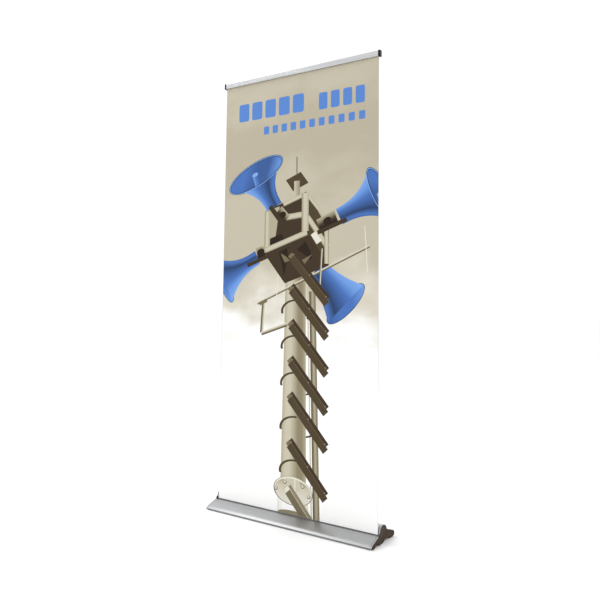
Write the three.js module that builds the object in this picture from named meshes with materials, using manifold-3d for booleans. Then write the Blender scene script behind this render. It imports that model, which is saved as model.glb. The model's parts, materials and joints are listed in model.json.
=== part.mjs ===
// Roll-up banner stand: wide extruded base, spring roller, snap rail and a pole in sections.
// Millimetres, +Z up. X runs along the base, Y runs from the front to the back.
// The origin is on the floor under the middle of the base.

import * as THREE from 'three';
import { mergeVertices } from 'three/addons/utils/BufferGeometryUtils.js';
import Module from 'manifold-3d';

// ---------------------------------------------------------------------------
// Driving dimensions
// ---------------------------------------------------------------------------

const GAP = 0.3; // air left between pieces that rest on each other

// The banner
const BANNER_WIDTH = 850;
const BANNER_SHOWN = 2000; // from the deck's rear edge to the rail
const BANNER_THICK = 0.5;

// The base, measured from the banner's plane: toe in front, tail behind
const TOE_DEPTH = 75;
const TAIL_DEPTH = 131;
const HOUSING_HALF = 426;
const CAP_OUTER = 433;
const COVER_OUTER = 436;

// Heights of the base's section
const PAD_THICK = 2;
const LIP_LOW = 4; // the front and rear lips
const BELLY = 9; // the flat underside
const DECK_FRONT = 15.5;
const DECK_REAR = 34;
const HUMP_RADIUS = 29;
const HUMP_CENTRE = [30, 42];
const WALL = 2.4;

// The roller, which lies under the hump
const ROLLER = [30, 41];
const CAVITY_RADIUS = 26.2;
const TUBE_RADIUS = 17;
const TUBE_WALL = 1.6;
const WRAP_RADIUS = 18.5; // the turns of leader that stay on the roller
const PIN_RADIUS = 4;

// The rail
const RAIL_BOTTOM = DECK_REAR + BANNER_SHOWN;
const RAIL_HEIGHT = 25;
const RAIL_HALF_DEPTH = 9;
const RAIL_HALF = BANNER_WIDTH / 2;
const RAIL_CAP_THICK = 8.7;
const RAIL_CAP_PROUD = 1.5;

// The pole
const POLE_RADIUS = 8;
const POLE_WALL = 1;
const POLE_FOOT_DEPTH = 77; // behind the banner's plane
const POLE_FOOT_HEIGHT = 14;
const POLE_HEAD_DEPTH = 20;
const SOCKET_BORE = 9.2;
const SOCKET_RADIUS = 11.5;
const SOCKET_LENGTH = 42;

// Derived places
const BANNER_Y = (TOE_DEPTH - TAIL_DEPTH) / 2;
const RAIL_TOP = RAIL_BOTTOM + RAIL_HEIGHT;
const BANNER_LOW = DECK_REAR + 10;
const BANNER_TOP = RAIL_BOTTOM + 12;

const wasm = await Module();
wasm.setup();

// ---------------------------------------------------------------------------
// Helpers
// ---------------------------------------------------------------------------

const radians = THREE.MathUtils.degToRad;

// Points on an arc, both ends included. Angles are in degrees.
function arc([x, y], radius, from, to, steps) {
  const points = [];
  for (let i = 0; i <= steps; i++) {
    const angle = radians(from + ((to - from) * i) / steps);
    points.push([x + radius * Math.cos(angle), y + radius * Math.sin(angle)]);
  }
  return points;
}

function circle(centre, radius, sides = 24) {
  return arc(centre, radius, 0, 360, sides).slice(0, sides);
}

function rectangle(x0, y0, x1, y1) {
  return [[x0, y0], [x1, y0], [x1, y1], [x0, y1]];
}

function toVectors(points) {
  return points.map(([x, y]) => new THREE.Vector2(x, y));
}

// A flat outline with holes, pushed along its normal between two places.
function extrude(points, from, to, holes = []) {
  const shape = new THREE.Shape(toVectors(points));
  for (const hole of holes) {
    shape.holes.push(new THREE.Path(toVectors(hole)));
  }
  const geometry = new THREE.ExtrudeGeometry(shape, { depth: to - from, bevelEnabled: false });
  return geometry.translate(0, 0, from);
}

// The outline of a thin strip that follows a path.
function ribbon(path, thick) {
  const near = [];
  const far = [];
  path.forEach(([x, y], i) => {
    const [x0, y0] = path[Math.max(i - 1, 0)];
    const [x1, y1] = path[Math.min(i + 1, path.length - 1)];
    const length = Math.hypot(x1 - x0, y1 - y0);
    const nx = ((y0 - y1) / length) * (thick / 2);
    const ny = ((x1 - x0) / length) * (thick / 2);
    near.push([x - nx, y - ny]);
    far.unshift([x + nx, y + ny]);
  });
  return [...near, ...far];
}

// Joins and cuts need closed solids, so seams are merged by position first.
function toSolid(geometry) {
  const bare = geometry.clone();
  bare.deleteAttribute('normal');
  bare.deleteAttribute('uv');
  const merged = mergeVertices(bare);
  const vertProperties = merged.attributes.position.array;
  const triVerts = Uint32Array.from(merged.index.array);
  return new wasm.Manifold(new wasm.Mesh({ numProp: 3, vertProperties, triVerts }));
}

function toGeometry(solid) {
  const { vertProperties, triVerts } = solid.getMesh();
  const geometry = new THREE.BufferGeometry();
  geometry.setAttribute('position', new THREE.BufferAttribute(vertProperties, 3));
  geometry.setIndex(new THREE.BufferAttribute(triVerts, 1));
  geometry.computeVertexNormals();
  return geometry;
}

function cut(geometry, ...tools) {
  const left = tools.reduce((solid, tool) => solid.subtract(toSolid(tool)), toSolid(geometry));
  return toGeometry(left);
}

function join(...geometries) {
  const whole = geometries.map(toSolid).reduce((solid, next) => solid.add(next));
  return toGeometry(whole);
}

// ---------------------------------------------------------------------------
// Finishes
// ---------------------------------------------------------------------------

function finish(color, roughness, metalness) {
  return () => new THREE.MeshStandardMaterial({ color, roughness, metalness });
}

const satinAluminium = finish(0xb4b6b7, 0.38, 0.9);
const silverPlastic = finish(0xbcbfc1, 0.42, 0.5);
const brightRail = finish(0xd3d6da, 0.32, 0.9);
const darkPlastic = finish(0x2e2620, 0.55, 0);
const blackPlastic = finish(0x0c0c0d, 0.45, 0);
const rubber = finish(0x1a1a1a, 0.9, 0);
const felt = finish(0x3a3a3c, 1, 0);
const steel = finish(0x8e9296, 0.3, 1);
const springSteel = finish(0x55595e, 0.4, 1);
const nylon = finish(0xe6e2d6, 0.5, 0);
const film = finish(0xc4c0ad, 0.6, 0);
const leaderFilm = finish(0xf2f2f0, 0.6, 0);
const greyTube = finish(0x9b9fa3, 0.35, 0.9);
const elastic = finish(0x202124, 0.9, 0);

function part(name, geometry, material) {
  const mesh = new THREE.Mesh(geometry, material());
  mesh.name = name;
  return mesh;
}

// A group whose local x is depth behind the banner, y is height and z runs along the base.
// Everything with a constant section along the base is drawn in it.
function sectionFrame() {
  const group = new THREE.Group();
  group.quaternion.set(0.5, 0.5, 0.5, 0.5);
  group.position.y = BANNER_Y;
  return group;
}

const SIDES = [
  { side: 'left', sign: -1 },
  { side: 'right', sign: 1 },
];

// Extrudes an outline between two distances from the middle, on the given side.
function extrudeAtEnd(points, sign, near, far, holes = []) {
  const [from, to] = sign > 0 ? [near, far] : [-far, -near];
  return extrude(points, from, to, holes);
}

// ---------------------------------------------------------------------------
// The base's section
// ---------------------------------------------------------------------------

const SLOT_FRONT = -4;
const SLOT_REAR = 4;
const SLOT_FLOOR = 30;
const HUMP_LIP = 47;
const REAR_DECK = [[117, 27], [58.3, 46.6]];

const humpAngle = ([x, y]) =>
  THREE.MathUtils.radToDeg(Math.atan2(y - HUMP_CENTRE[1], x - HUMP_CENTRE[0]));

const HUMP_START = humpAngle(REAR_DECK[1]);
const HUMP_END = 180 - THREE.MathUtils.radToDeg(
  Math.acos((HUMP_CENTRE[0] - SLOT_REAR) / HUMP_RADIUS),
);

// From the tail, up the rear deck and over the hump to the slot
const REAR_AND_HUMP = [
  [118, BELLY],
  [120, LIP_LOW + 1],
  [TAIL_DEPTH - 4, LIP_LOW + 1],
  [TAIL_DEPTH - 1, BELLY],
  [TAIL_DEPTH - 1, 17],
  [126, 22.5],
  REAR_DECK[0],
  ...arc(HUMP_CENTRE, HUMP_RADIUS, HUMP_START, HUMP_END, 22),
];

// From the slot, down the front deck and round the nose
const DECK_AND_NOSE = [
  [SLOT_FRONT, DECK_REAR - 1.5],
  [-6, DECK_REAR],
  [-9, DECK_REAR],
  [-63, DECK_FRONT],
  [-TOE_DEPTH, 8],
  [2 - TOE_DEPTH, LIP_LOW],
  [-68, LIP_LOW],
  [-66, BELLY],
];

// Screw ports run the whole length of the extrusion
const SCREW_PLACES = { front: [-60, 12.6], middle: [53, 15], rear: [121.5, 15.5] };
const PORT_RADIUS = 1.8;
const SCREW_RADIUS = 1.5;
const HEAD_RADIUS = 3.4;
const HEAD_THICK = 2;
const HEAD_SEAT = 3; // depth of the recess for a screw head

const CHAMBER_FLOOR = BELLY + WALL;
const CHAMBERS = [
  // under the front deck
  [[-55, CHAMBER_FLOOR], [-8, CHAMBER_FLOOR], [-8, 31.6], [-55, 15.5]],
  // under the slot
  [[-5.5, CHAMBER_FLOOR], [6, CHAMBER_FLOOR], [2, 22], [-1, 27.5], [-5.5, 27.5]],
  // under the rear deck, round the pole's socket
  [[61, CHAMBER_FLOOR], [94, CHAMBER_FLOOR], [94, 32.2], [61, 43.2]],
  // behind it
  [[97, CHAMBER_FLOOR], [116, CHAMBER_FLOOR], [116, 24.8], [97, 31.2]],
];

// ---------------------------------------------------------------------------
// Base
// ---------------------------------------------------------------------------

// The pole leans forward as it rises, so that its hook reaches under the rail.
const POLE_RISE = RAIL_BOTTOM - 2.5 - POLE_FOOT_HEIGHT;
const POLE_LEAN = Math.atan2(POLE_FOOT_DEPTH - POLE_HEAD_DEPTH, POLE_RISE);

// A group whose z runs up the pole from the bottom of its socket
function poleFrame() {
  const group = new THREE.Group();
  group.position.set(0, BANNER_Y + POLE_FOOT_DEPTH, POLE_FOOT_HEIGHT);
  group.rotation.x = POLE_LEAN;
  return group;
}

// Turns depth behind the banner, height and place along the base into a section frame's axes.
const TO_SECTION = new THREE.Matrix4().set(0, 1, 0, 0, 0, 0, 1, 0, 1, 0, 0, 0, 0, 0, 0, 1);

// A rod round the pole's line, for cutting the rear deck
function poleHole() {
  const rod = extrude(circle([0, 0], SOCKET_RADIUS + GAP, 32), 15, 60);
  rod.rotateX(POLE_LEAN);
  rod.translate(0, POLE_FOOT_DEPTH, POLE_FOOT_HEIGHT);
  return rod.applyMatrix4(TO_SECTION);
}

// The collar round the socket lies on the sloping rear deck and is held by two screws.
const COLLAR_DEPTH = POLE_FOOT_DEPTH - 1;
const COLLAR_THICK = 3;
const COLLAR_SCREW_X = 20;
const COLLAR_SCREW_RADIUS = 1.3;
const COLLAR_SCREW_REACH = 6;
const DECK_SLOPE = Math.atan(
  (REAR_DECK[1][1] - REAR_DECK[0][1]) / (REAR_DECK[1][0] - REAR_DECK[0][0]),
);

function deckHeight(depth) {
  return REAR_DECK[0][1] + (depth - REAR_DECK[0][0]) * Math.tan(DECK_SLOPE);
}

function collarScrewHole(sign) {
  const hole = circle([sign * COLLAR_SCREW_X, 0], COLLAR_SCREW_RADIUS + GAP, 10);
  const rod = extrude(hole, -COLLAR_SCREW_REACH - 1, 2);
  rod.rotateX(DECK_SLOPE);
  rod.translate(0, COLLAR_DEPTH, deckHeight(COLLAR_DEPTH));
  return rod.applyMatrix4(TO_SECTION);
}

function baseHousing() {
  const outline = [
    ...REAR_AND_HUMP,
    [SLOT_REAR, HUMP_LIP],
    ...arc(ROLLER, CAVITY_RADIUS, 169, -155, 40),
    [SLOT_FRONT, SLOT_FLOOR],
    ...DECK_AND_NOSE,
  ];
  const ports = Object.values(SCREW_PLACES).map((place) => circle(place, PORT_RADIUS, 10));
  const past = HOUSING_HALF + 1;
  const hollows = [...CHAMBERS, ...ports].map((hollow) => extrude(hollow, -past, past));
  const bar = extrude(outline, -HOUSING_HALF, HOUSING_HALF);
  return cut(bar, ...hollows, poleHole(), collarScrewHole(-1), collarScrewHole(1));
}

// The silver plate that closes an end: the slot runs through it as a notch.
function endCap(sign) {
  const outline = [
    ...REAR_AND_HUMP,
    [SLOT_REAR, SLOT_FLOOR],
    [SLOT_FRONT, SLOT_FLOOR],
    ...DECK_AND_NOSE,
  ];
  const holes = Object.values(SCREW_PLACES).map((place) => circle(place, PORT_RADIUS, 10));
  const inner = HOUSING_HALF + GAP;
  const plate = extrudeAtEnd(outline, sign, inner, CAP_OUTER, holes);
  const seats = Object.values(SCREW_PLACES).map((place) =>
    extrudeAtEnd(circle(place, HEAD_RADIUS + GAP, 16), sign, CAP_OUTER - HEAD_SEAT, CAP_OUTER + 1));
  const pocketRadius = sign > 0 ? SHAFT_RADIUS + GAP : BUSH_RADIUS + GAP;
  const pocketSides = sign > 0 ? 6 : 24;
  const pocket = extrudeAtEnd(
    circle(ROLLER, pocketRadius, pocketSides), sign, inner - 1, POCKET_FLOOR);
  return cut(plate, pocket, ...seats);
}

// The dark side cover clips over the plate. Its edge stands on three feet: toe, middle and tail.
const FEET = { toe: [-66, -46], middle: [-12, 28], tail: [92, 117] };
const FOOT_BOTTOM = PAD_THICK + GAP;

function sideCover(sign) {
  const rear = REAR_AND_HUMP.slice(4);
  const outline = [
    [4 - TOE_DEPTH, FOOT_BOTTOM],
    [-46, FOOT_BOTTOM],
    [-41, 6],
    [-34, 8],
    [-22, 8],
    [-16, 5.5],
    [-12, FOOT_BOTTOM],
    [28, FOOT_BOTTOM],
    [32, 5.5],
    [36, 10],
    [44, 11.5],
    [74, 10.5],
    [86, 6.5],
    [92, FOOT_BOTTOM],
    [123, FOOT_BOTTOM],
    [TAIL_DEPTH - 2, 6],
    [TAIL_DEPTH, 11],
    ...rear,
    [SLOT_REAR, HUMP_LIP],
    [SLOT_FRONT, HUMP_LIP - 4],
    ...DECK_AND_NOSE.slice(1, 5),
    [-TOE_DEPTH, 5],
  ];
  const skin = extrudeAtEnd(outline, sign, CAP_OUTER + GAP, COVER_OUTER);
  const blocks = Object.values(FEET).map(([from, to]) =>
    extrudeAtEnd(
      rectangle(from, FOOT_BOTTOM, to, BELLY - GAP), sign, HOUSING_HALF + GAP, COVER_OUTER - 1));
  return join(skin, ...blocks);
}

function rubberPad(sign, [from, to]) {
  return extrudeAtEnd(rectangle(from + 1, 0, to - 1, PAD_THICK), sign, HOUSING_HALF + 1, CAP_OUTER + 2);
}

const SCREW_REACH = 20; // how far a screw goes into the extrusion

function capScrew(sign, place) {
  const seat = CAP_OUTER - HEAD_SEAT + GAP;
  const shank = extrudeAtEnd(circle(place, SCREW_RADIUS, 10), sign, seat - SCREW_REACH, seat + 1);
  const head = extrudeAtEnd(circle(place, HEAD_RADIUS, 16), sign, seat, seat + HEAD_THICK);
  return join(shank, head);
}

// The guide strip covers the deck's rear edge, where the banner bends upwards over it.
function slotGuide() {
  const outline = [
    [SLOT_FRONT + GAP, 31],
    [-2, 31],
    [-1.2, 33.5],
    [-1.8, DECK_REAR + 1.3],
    [-7, DECK_REAR + 1.3],
    [-7, DECK_REAR + GAP],
    [-5.6, DECK_REAR + GAP],
    [SLOT_FRONT + GAP, DECK_REAR - 1.2],
  ];
  return extrude(outline, GAP - HOUSING_HALF, HOUSING_HALF - GAP);
}

function slotFelt() {
  const back = SLOT_REAR - GAP;
  return extrude(
    rectangle(back - 1.4, HUMP_LIP + GAP, back, HUMP_LIP + 6), GAP - HOUSING_HALF, HOUSING_HALF - GAP);
}

function makeBase() {
  const base = sectionFrame();
  base.add(part('base_housing', baseHousing(), satinAluminium));
  for (const { side, sign } of SIDES) {
    base.add(part(`end_cap_${side}`, endCap(sign), silverPlastic));
    base.add(part(`side_cover_${side}`, sideCover(sign), darkPlastic));
    for (const [foot, span] of Object.entries(FEET)) {
      base.add(part(`rubber_pad_${foot}_${side}`, rubberPad(sign, span), rubber));
    }
    for (const [where, place] of Object.entries(SCREW_PLACES)) {
      base.add(part(`cap_screw_${where}_${side}`, capScrew(sign, place), steel));
    }
  }
  base.add(part('slot_guide_strip', slotGuide(), blackPlastic));
  base.add(part('slot_felt_strip', slotFelt(), felt));
  return base;
}

// ---------------------------------------------------------------------------
// Roller and spring
// ---------------------------------------------------------------------------

const TUBE_HALF = 422;
const PLUG_LENGTH = 20;
const PLUG_FLANGE = 1.7;
const PLUG_RADIUS = TUBE_RADIUS - TUBE_WALL - GAP;
const BUSH_RADIUS = 7;
const BUSH_RUNNING = 0.1;
const SHAFT_RADIUS = 4.8; // corner radius of the hexagonal shaft
const POCKET_FLOOR = 430.5;
const PIN_INNER = 404;
const SHAFT_INNER = 10;

function rollerPlug(sign, bore) {
  const hole = [circle(ROLLER, bore)];
  const inner = TUBE_HALF + GAP - PLUG_LENGTH;
  const outer = TUBE_HALF + GAP + PLUG_FLANGE;
  const body = extrudeAtEnd(circle(ROLLER, PLUG_RADIUS, 32), sign, inner, outer, hole);
  const flange = extrudeAtEnd(circle(ROLLER, TUBE_RADIUS, 32), sign, TUBE_HALF + GAP, outer, hole);
  return join(body, flange);
}

const SPRING_COIL_RADIUS = 9.5;
const SPRING_WIRE_RADIUS = 0.9;
const SPRING_TURNS = 18;
const SPRING_FROM = 44;
const SPRING_TO = 396;

class SpringLine extends THREE.Curve {
  getPoint(t, target = new THREE.Vector3()) {
    const angle = 2 * Math.PI * SPRING_TURNS * t;
    return target.set(
      ROLLER[0] + SPRING_COIL_RADIUS * Math.cos(angle),
      ROLLER[1] + SPRING_COIL_RADIUS * Math.sin(angle),
      SPRING_FROM + (SPRING_TO - SPRING_FROM) * t,
    );
  }
}

function torsionSpring() {
  const wire = new THREE.Shape(toVectors(circle([0, 0], SPRING_WIRE_RADIUS, 6)));
  const settings = { steps: SPRING_TURNS * 12, bevelEnabled: false, extrudePath: new SpringLine() };
  return new THREE.ExtrudeGeometry(wire, settings);
}

// The leader leaves the underside of the roller and bends up through the slot.
function bannerLeader() {
  const bend = [0, DECK_REAR + 4];
  const radius = WRAP_RADIUS + GAP + BANNER_THICK / 2;
  const [dx, dy] = [bend[0] - ROLLER[0], bend[1] - ROLLER[1]];
  const towards = Math.atan2(dy, dx) + 2 * Math.PI;
  const leave = towards + Math.acos(radius / Math.hypot(dx, dy));
  const start = [ROLLER[0] + radius * Math.cos(leave), ROLLER[1] + radius * Math.sin(leave)];
  const path = [start, bend, [0, BANNER_LOW - GAP]];
  return extrude(ribbon(path, BANNER_THICK), -BANNER_WIDTH / 2, BANNER_WIDTH / 2);
}

function makeRoller() {
  const roller = sectionFrame();
  const tube = extrude(circle(ROLLER, TUBE_RADIUS, 36), -TUBE_HALF, TUBE_HALF,
    [circle(ROLLER, TUBE_RADIUS - TUBE_WALL, 36)]);
  roller.add(part('roller_tube', tube, greyTube));
  roller.add(part('roller_plug_idler', rollerPlug(-1, PIN_RADIUS + BUSH_RUNNING), nylon));
  roller.add(part('roller_plug_drive', rollerPlug(1, SHAFT_RADIUS + 1), nylon));
  const wraps = extrude(circle(ROLLER, WRAP_RADIUS, 36), -BANNER_WIDTH / 2, BANNER_WIDTH / 2,
    [circle(ROLLER, TUBE_RADIUS + GAP, 36)]);
  roller.add(part('banner_roll', wraps, leaderFilm));

  const bush = extrude(circle(ROLLER, BUSH_RADIUS), -POCKET_FLOOR + GAP, -HOUSING_HALF,
    [circle(ROLLER, PIN_RADIUS + GAP)]);
  roller.add(part('bearing_bush', bush, nylon));
  const pin = extrude(circle(ROLLER, PIN_RADIUS), 2 * GAP - POCKET_FLOOR, -PIN_INNER);
  roller.add(part('idler_pin', pin, steel));
  const shaft = extrude(circle(ROLLER, SHAFT_RADIUS, 6), SHAFT_INNER, POCKET_FLOOR - GAP);
  roller.add(part('spring_shaft', shaft, steel));
  const anchor = extrude(circle(ROLLER, 12), SHAFT_INNER + 4, SPRING_FROM - 4,
    [circle(ROLLER, SHAFT_RADIUS + GAP, 6)]);
  roller.add(part('spring_anchor', anchor, nylon));
  roller.add(part('torsion_spring', torsionSpring(), springSteel));
  roller.add(part('banner_leader', bannerLeader(), leaderFilm));
  return roller;
}

// ---------------------------------------------------------------------------
// Rail: a body with a hinged front jaw that snaps shut on the banner's top edge
// ---------------------------------------------------------------------------

const JAW_SPLIT = -4; // where the jaw meets the body along the rail's top
const GRIP_LOW = RAIL_BOTTOM + 5;
const GRIP_HIGH = RAIL_BOTTOM + 8.4;

function railBody() {
  const back = RAIL_HALF_DEPTH;
  const inner = back - 3.5;
  const outline = [
    [inner, RAIL_BOTTOM],
    [back, RAIL_BOTTOM],
    [back, RAIL_TOP - 2],
    [back - 2, RAIL_TOP],
    [JAW_SPLIT, RAIL_TOP],
    [JAW_SPLIT, RAIL_TOP - 3],
    [inner, RAIL_TOP - 3],
    [inner, GRIP_HIGH + 0.6],
    [0.8, GRIP_HIGH],
    [0.8, GRIP_LOW],
    [inner, GRIP_LOW - 0.8],
  ];
  return extrude(outline, -RAIL_HALF, RAIL_HALF);
}

function railJaw() {
  const front = -RAIL_HALF_DEPTH;
  const inner = front + 3.2;
  const split = JAW_SPLIT - 0.4;
  const outline = [
    [front, RAIL_BOTTOM + 1.5],
    [front + 1.2, RAIL_BOTTOM + GAP],
    [inner, RAIL_BOTTOM + GAP],
    [inner, GRIP_LOW - 0.8],
    [-2.2, GRIP_LOW],
    [-2.2, GRIP_HIGH],
    [inner, GRIP_HIGH + 0.6],
    [inner, RAIL_TOP - 3.5],
    [split, RAIL_TOP - 3],
    [split, RAIL_TOP],
    [front + 2, RAIL_TOP],
    [front, RAIL_TOP - 2],
  ];
  return extrude(outline, GAP - RAIL_HALF, RAIL_HALF - GAP);
}

function railEndCap(sign) {
  const reach = RAIL_HALF_DEPTH + 0.5;
  const low = RAIL_BOTTOM - RAIL_CAP_PROUD;
  const high = RAIL_TOP + RAIL_CAP_PROUD;
  const corner = 3;
  const outline = [
    ...arc([reach - corner, low + corner], corner, -90, 0, 4),
    ...arc([reach - corner, high - corner], corner, 0, 90, 4),
    ...arc([corner - reach, high - corner], corner, 90, 180, 4),
    ...arc([corner - reach, low + corner], corner, 180, 270, 4),
  ];
  const plate = extrudeAtEnd(outline, sign, RAIL_HALF + GAP, RAIL_HALF + GAP + RAIL_CAP_THICK);
  const tongue = rectangle(0.8, GRIP_HIGH + 3, 5, RAIL_TOP - 4);
  return join(plate, extrudeAtEnd(tongue, sign, RAIL_HALF - 14, RAIL_HALF + 2));
}

// A bent strip of spring steel that keeps the jaw shut
function railClip(centre) {
  const path = [
    [-5, GRIP_HIGH + 4],
    [-4.4, RAIL_TOP - 4.5],
    [4.4, RAIL_TOP - 4.5],
    [5, GRIP_HIGH + 4],
  ];
  return extrude(ribbon(path, 0.6), centre - 15, centre + 15);
}

function makeRail() {
  const rail = sectionFrame();
  rail.add(part('rail_body', railBody(), brightRail));
  rail.add(part('rail_jaw', railJaw(), brightRail));
  const grip = rectangle(-1.9, GRIP_LOW - 0.2, -0.7, GRIP_HIGH + 0.2);
  rail.add(part('grip_strip', extrude(grip, 1 - RAIL_HALF, RAIL_HALF - 1), rubber));
  for (const { side, sign } of SIDES) {
    rail.add(part(`rail_end_cap_${side}`, railEndCap(sign), blackPlastic));
    rail.add(part(`rail_clip_${side}`, railClip(sign * 300), springSteel));
  }
  const sheet = rectangle(-BANNER_THICK / 2, BANNER_LOW, BANNER_THICK / 2, BANNER_TOP);
  rail.add(part('banner_sheet', extrude(sheet, -BANNER_WIDTH / 2, BANNER_WIDTH / 2), film));
  return rail;
}

// ---------------------------------------------------------------------------
// Pole and its socket
// ---------------------------------------------------------------------------

const FOOT_PLUG_FLANGE = 3;
const SECTION_LENGTH = 670;
const POLE_BORE = POLE_RADIUS - POLE_WALL;
const FERRULE_RADIUS = POLE_BORE - 0.2;
const FERRULE_BORE = 5.6;
const FERRULE_HALF = 50;
const CORD_RADIUS = 2;
const SOCKET_FLOOR = 2;

function tube(outer, inner, from, to) {
  return extrude(circle([0, 0], outer), from, to, [circle([0, 0], inner)]);
}

function poleSocket() {
  const shell = extrude(circle([0, 0], SOCKET_RADIUS), 0, SOCKET_LENGTH);
  const bore = extrude(circle([0, 0], SOCKET_BORE), SOCKET_FLOOR, SOCKET_LENGTH + 1);
  return cut(shell, bore);
}

function deckFrame(depth) {
  const group = new THREE.Group();
  group.position.set(0, BANNER_Y + depth, deckHeight(depth));
  group.rotation.x = DECK_SLOPE;
  return group;
}

function socketCollar() {
  const halfWidth = 27;
  const halfLength = 17;
  const corner = 5;
  const [x, y] = [halfWidth - corner, halfLength - corner];
  const outline = [
    ...arc([x, y], corner, 0, 90, 4),
    ...arc([-x, y], corner, 90, 180, 4),
    ...arc([-x, -y], corner, 180, 270, 4),
    ...arc([x, -y], corner, 270, 360, 4),
  ];
  const screwHoles = SIDES.map(({ sign }) => circle([sign * COLLAR_SCREW_X, 0], 2, 12));
  const plate = extrude(outline, GAP, GAP + COLLAR_THICK, screwHoles);
  const mouth = extrude(circle([0, 0], SOCKET_RADIUS + GAP, 32), -60, 60);
  mouth.rotateX(POLE_LEAN - DECK_SLOPE);
  return cut(plate, mouth);
}

function collarScrew(sign) {
  const place = [sign * COLLAR_SCREW_X, 0];
  const seat = COLLAR_THICK + 2 * GAP;
  const shank = extrude(circle(place, COLLAR_SCREW_RADIUS, 10), -COLLAR_SCREW_REACH, seat + 1);
  const head = extrude(circle(place, HEAD_RADIUS, 16), seat, seat + HEAD_THICK);
  return join(shank, head);
}

function poleHook(top) {
  const plug = extrude(circle([0, 0], FERRULE_RADIUS), top - 25, top + 1);
  const cap = extrude(circle([0, 0], POLE_RADIUS + 1), top + GAP, top + 14);
  const reach = POLE_HEAD_DEPTH - 1.8;
  const tongue = new THREE.BoxGeometry(30, reach, 4).translate(0, -reach / 2, top + 12);
  const nib = new THREE.BoxGeometry(30, 2.4, 6).translate(0, 1.6 - reach, top + 13);
  return join(plug, cap, tongue, nib);
}

function makePole() {
  const pole = poleFrame();
  pole.add(part('pole_socket', poleSocket(), blackPlastic));

  const bottom = SOCKET_FLOOR + 0.5;
  const flange = extrude(circle([0, 0], POLE_RADIUS), bottom, bottom + FOOT_PLUG_FLANGE);
  const plug = extrude(circle([0, 0], FERRULE_RADIUS), bottom, bottom + 22);
  pole.add(part('pole_foot_plug', join(flange, plug), blackPlastic));

  const start = bottom + FOOT_PLUG_FLANGE + GAP;
  const head = POLE_RISE / Math.cos(POLE_LEAN) - 12;
  const joints = [start + SECTION_LENGTH, start + 2 * SECTION_LENGTH];
  const ends = [start, joints[0], joints[1], head];
  ['lower', 'middle', 'upper'].forEach((name, i) => {
    const shell = tube(POLE_RADIUS, POLE_BORE, ends[i] + GAP, ends[i + 1]);
    pole.add(part(`pole_${name}`, shell, greyTube));
  });
  ['lower', 'upper'].forEach((name, i) => {
    const sleeve = tube(FERRULE_RADIUS, FERRULE_BORE, joints[i] - FERRULE_HALF, joints[i] + FERRULE_HALF);
    pole.add(part(`ferrule_${name}`, sleeve, steel));
  });
  const cord = extrude(circle([0, 0], CORD_RADIUS, 10), bottom + 22 + GAP, head - 25 - GAP);
  pole.add(part('bungee_cord', cord, elastic));
  pole.add(part('pole_hook', poleHook(head), blackPlastic));
  return pole;
}

function makeCollar() {
  const collar = deckFrame(COLLAR_DEPTH);
  collar.add(part('socket_collar', socketCollar(), blackPlastic));
  for (const { side, sign } of SIDES) {
    collar.add(part(`collar_screw_${side}`, collarScrew(sign), steel));
  }
  return collar;
}

const stand = new THREE.Group();
stand.add(makeBase(), makeRoller(), makeRail(), makePole(), makeCollar());

export default stand;
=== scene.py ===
# %% [markdown]
# This lesson builds a roll-up banner stand around its frame: the frame holds each piece at its
# true size and place, and the script gives each one its visible shape and finish.

# %% Frame
import json
import math

import bmesh
import bpy
from mathutils import Matrix, Vector


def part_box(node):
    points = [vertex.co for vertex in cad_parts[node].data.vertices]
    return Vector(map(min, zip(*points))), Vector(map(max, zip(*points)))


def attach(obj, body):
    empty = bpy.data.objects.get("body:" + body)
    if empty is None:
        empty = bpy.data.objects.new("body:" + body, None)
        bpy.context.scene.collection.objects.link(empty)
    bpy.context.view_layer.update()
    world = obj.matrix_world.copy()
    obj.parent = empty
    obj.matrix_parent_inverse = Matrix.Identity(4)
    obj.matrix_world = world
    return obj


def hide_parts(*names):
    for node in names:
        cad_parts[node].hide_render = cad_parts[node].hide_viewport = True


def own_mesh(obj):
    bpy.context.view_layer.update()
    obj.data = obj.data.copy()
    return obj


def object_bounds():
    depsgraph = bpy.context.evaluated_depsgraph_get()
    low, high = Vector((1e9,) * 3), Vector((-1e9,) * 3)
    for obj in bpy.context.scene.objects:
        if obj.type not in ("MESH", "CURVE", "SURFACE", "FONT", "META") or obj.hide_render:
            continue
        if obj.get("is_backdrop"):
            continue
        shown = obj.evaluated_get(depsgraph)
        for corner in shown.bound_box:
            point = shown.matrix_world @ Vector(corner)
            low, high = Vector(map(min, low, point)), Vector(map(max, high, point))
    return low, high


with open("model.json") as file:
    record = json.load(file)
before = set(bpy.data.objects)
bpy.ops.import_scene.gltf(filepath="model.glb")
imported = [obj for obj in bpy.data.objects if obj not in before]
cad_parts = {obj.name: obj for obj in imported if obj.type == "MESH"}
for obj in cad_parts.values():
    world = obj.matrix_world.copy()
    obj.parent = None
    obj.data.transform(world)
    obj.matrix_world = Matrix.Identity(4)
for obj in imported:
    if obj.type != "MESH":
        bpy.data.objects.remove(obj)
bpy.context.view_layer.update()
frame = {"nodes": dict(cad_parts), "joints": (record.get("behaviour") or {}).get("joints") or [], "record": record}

# %% [markdown]
# A roll-up banner stand has one long section for its base and another for its rail. Both are
# aluminium extrusions, so most of this lesson draws an outline once and pushes it along X.
# Section sizes are in millimetres, as on an extruder's drawing: the first number is the depth
# behind the sheet and the second is the height above the floor. The sheet hangs in one plane,
# and the frame says where that plane is, so every other place is measured from it. Fitted
# pieces keep a small gap, so that no two faces lie in one place.

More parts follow.
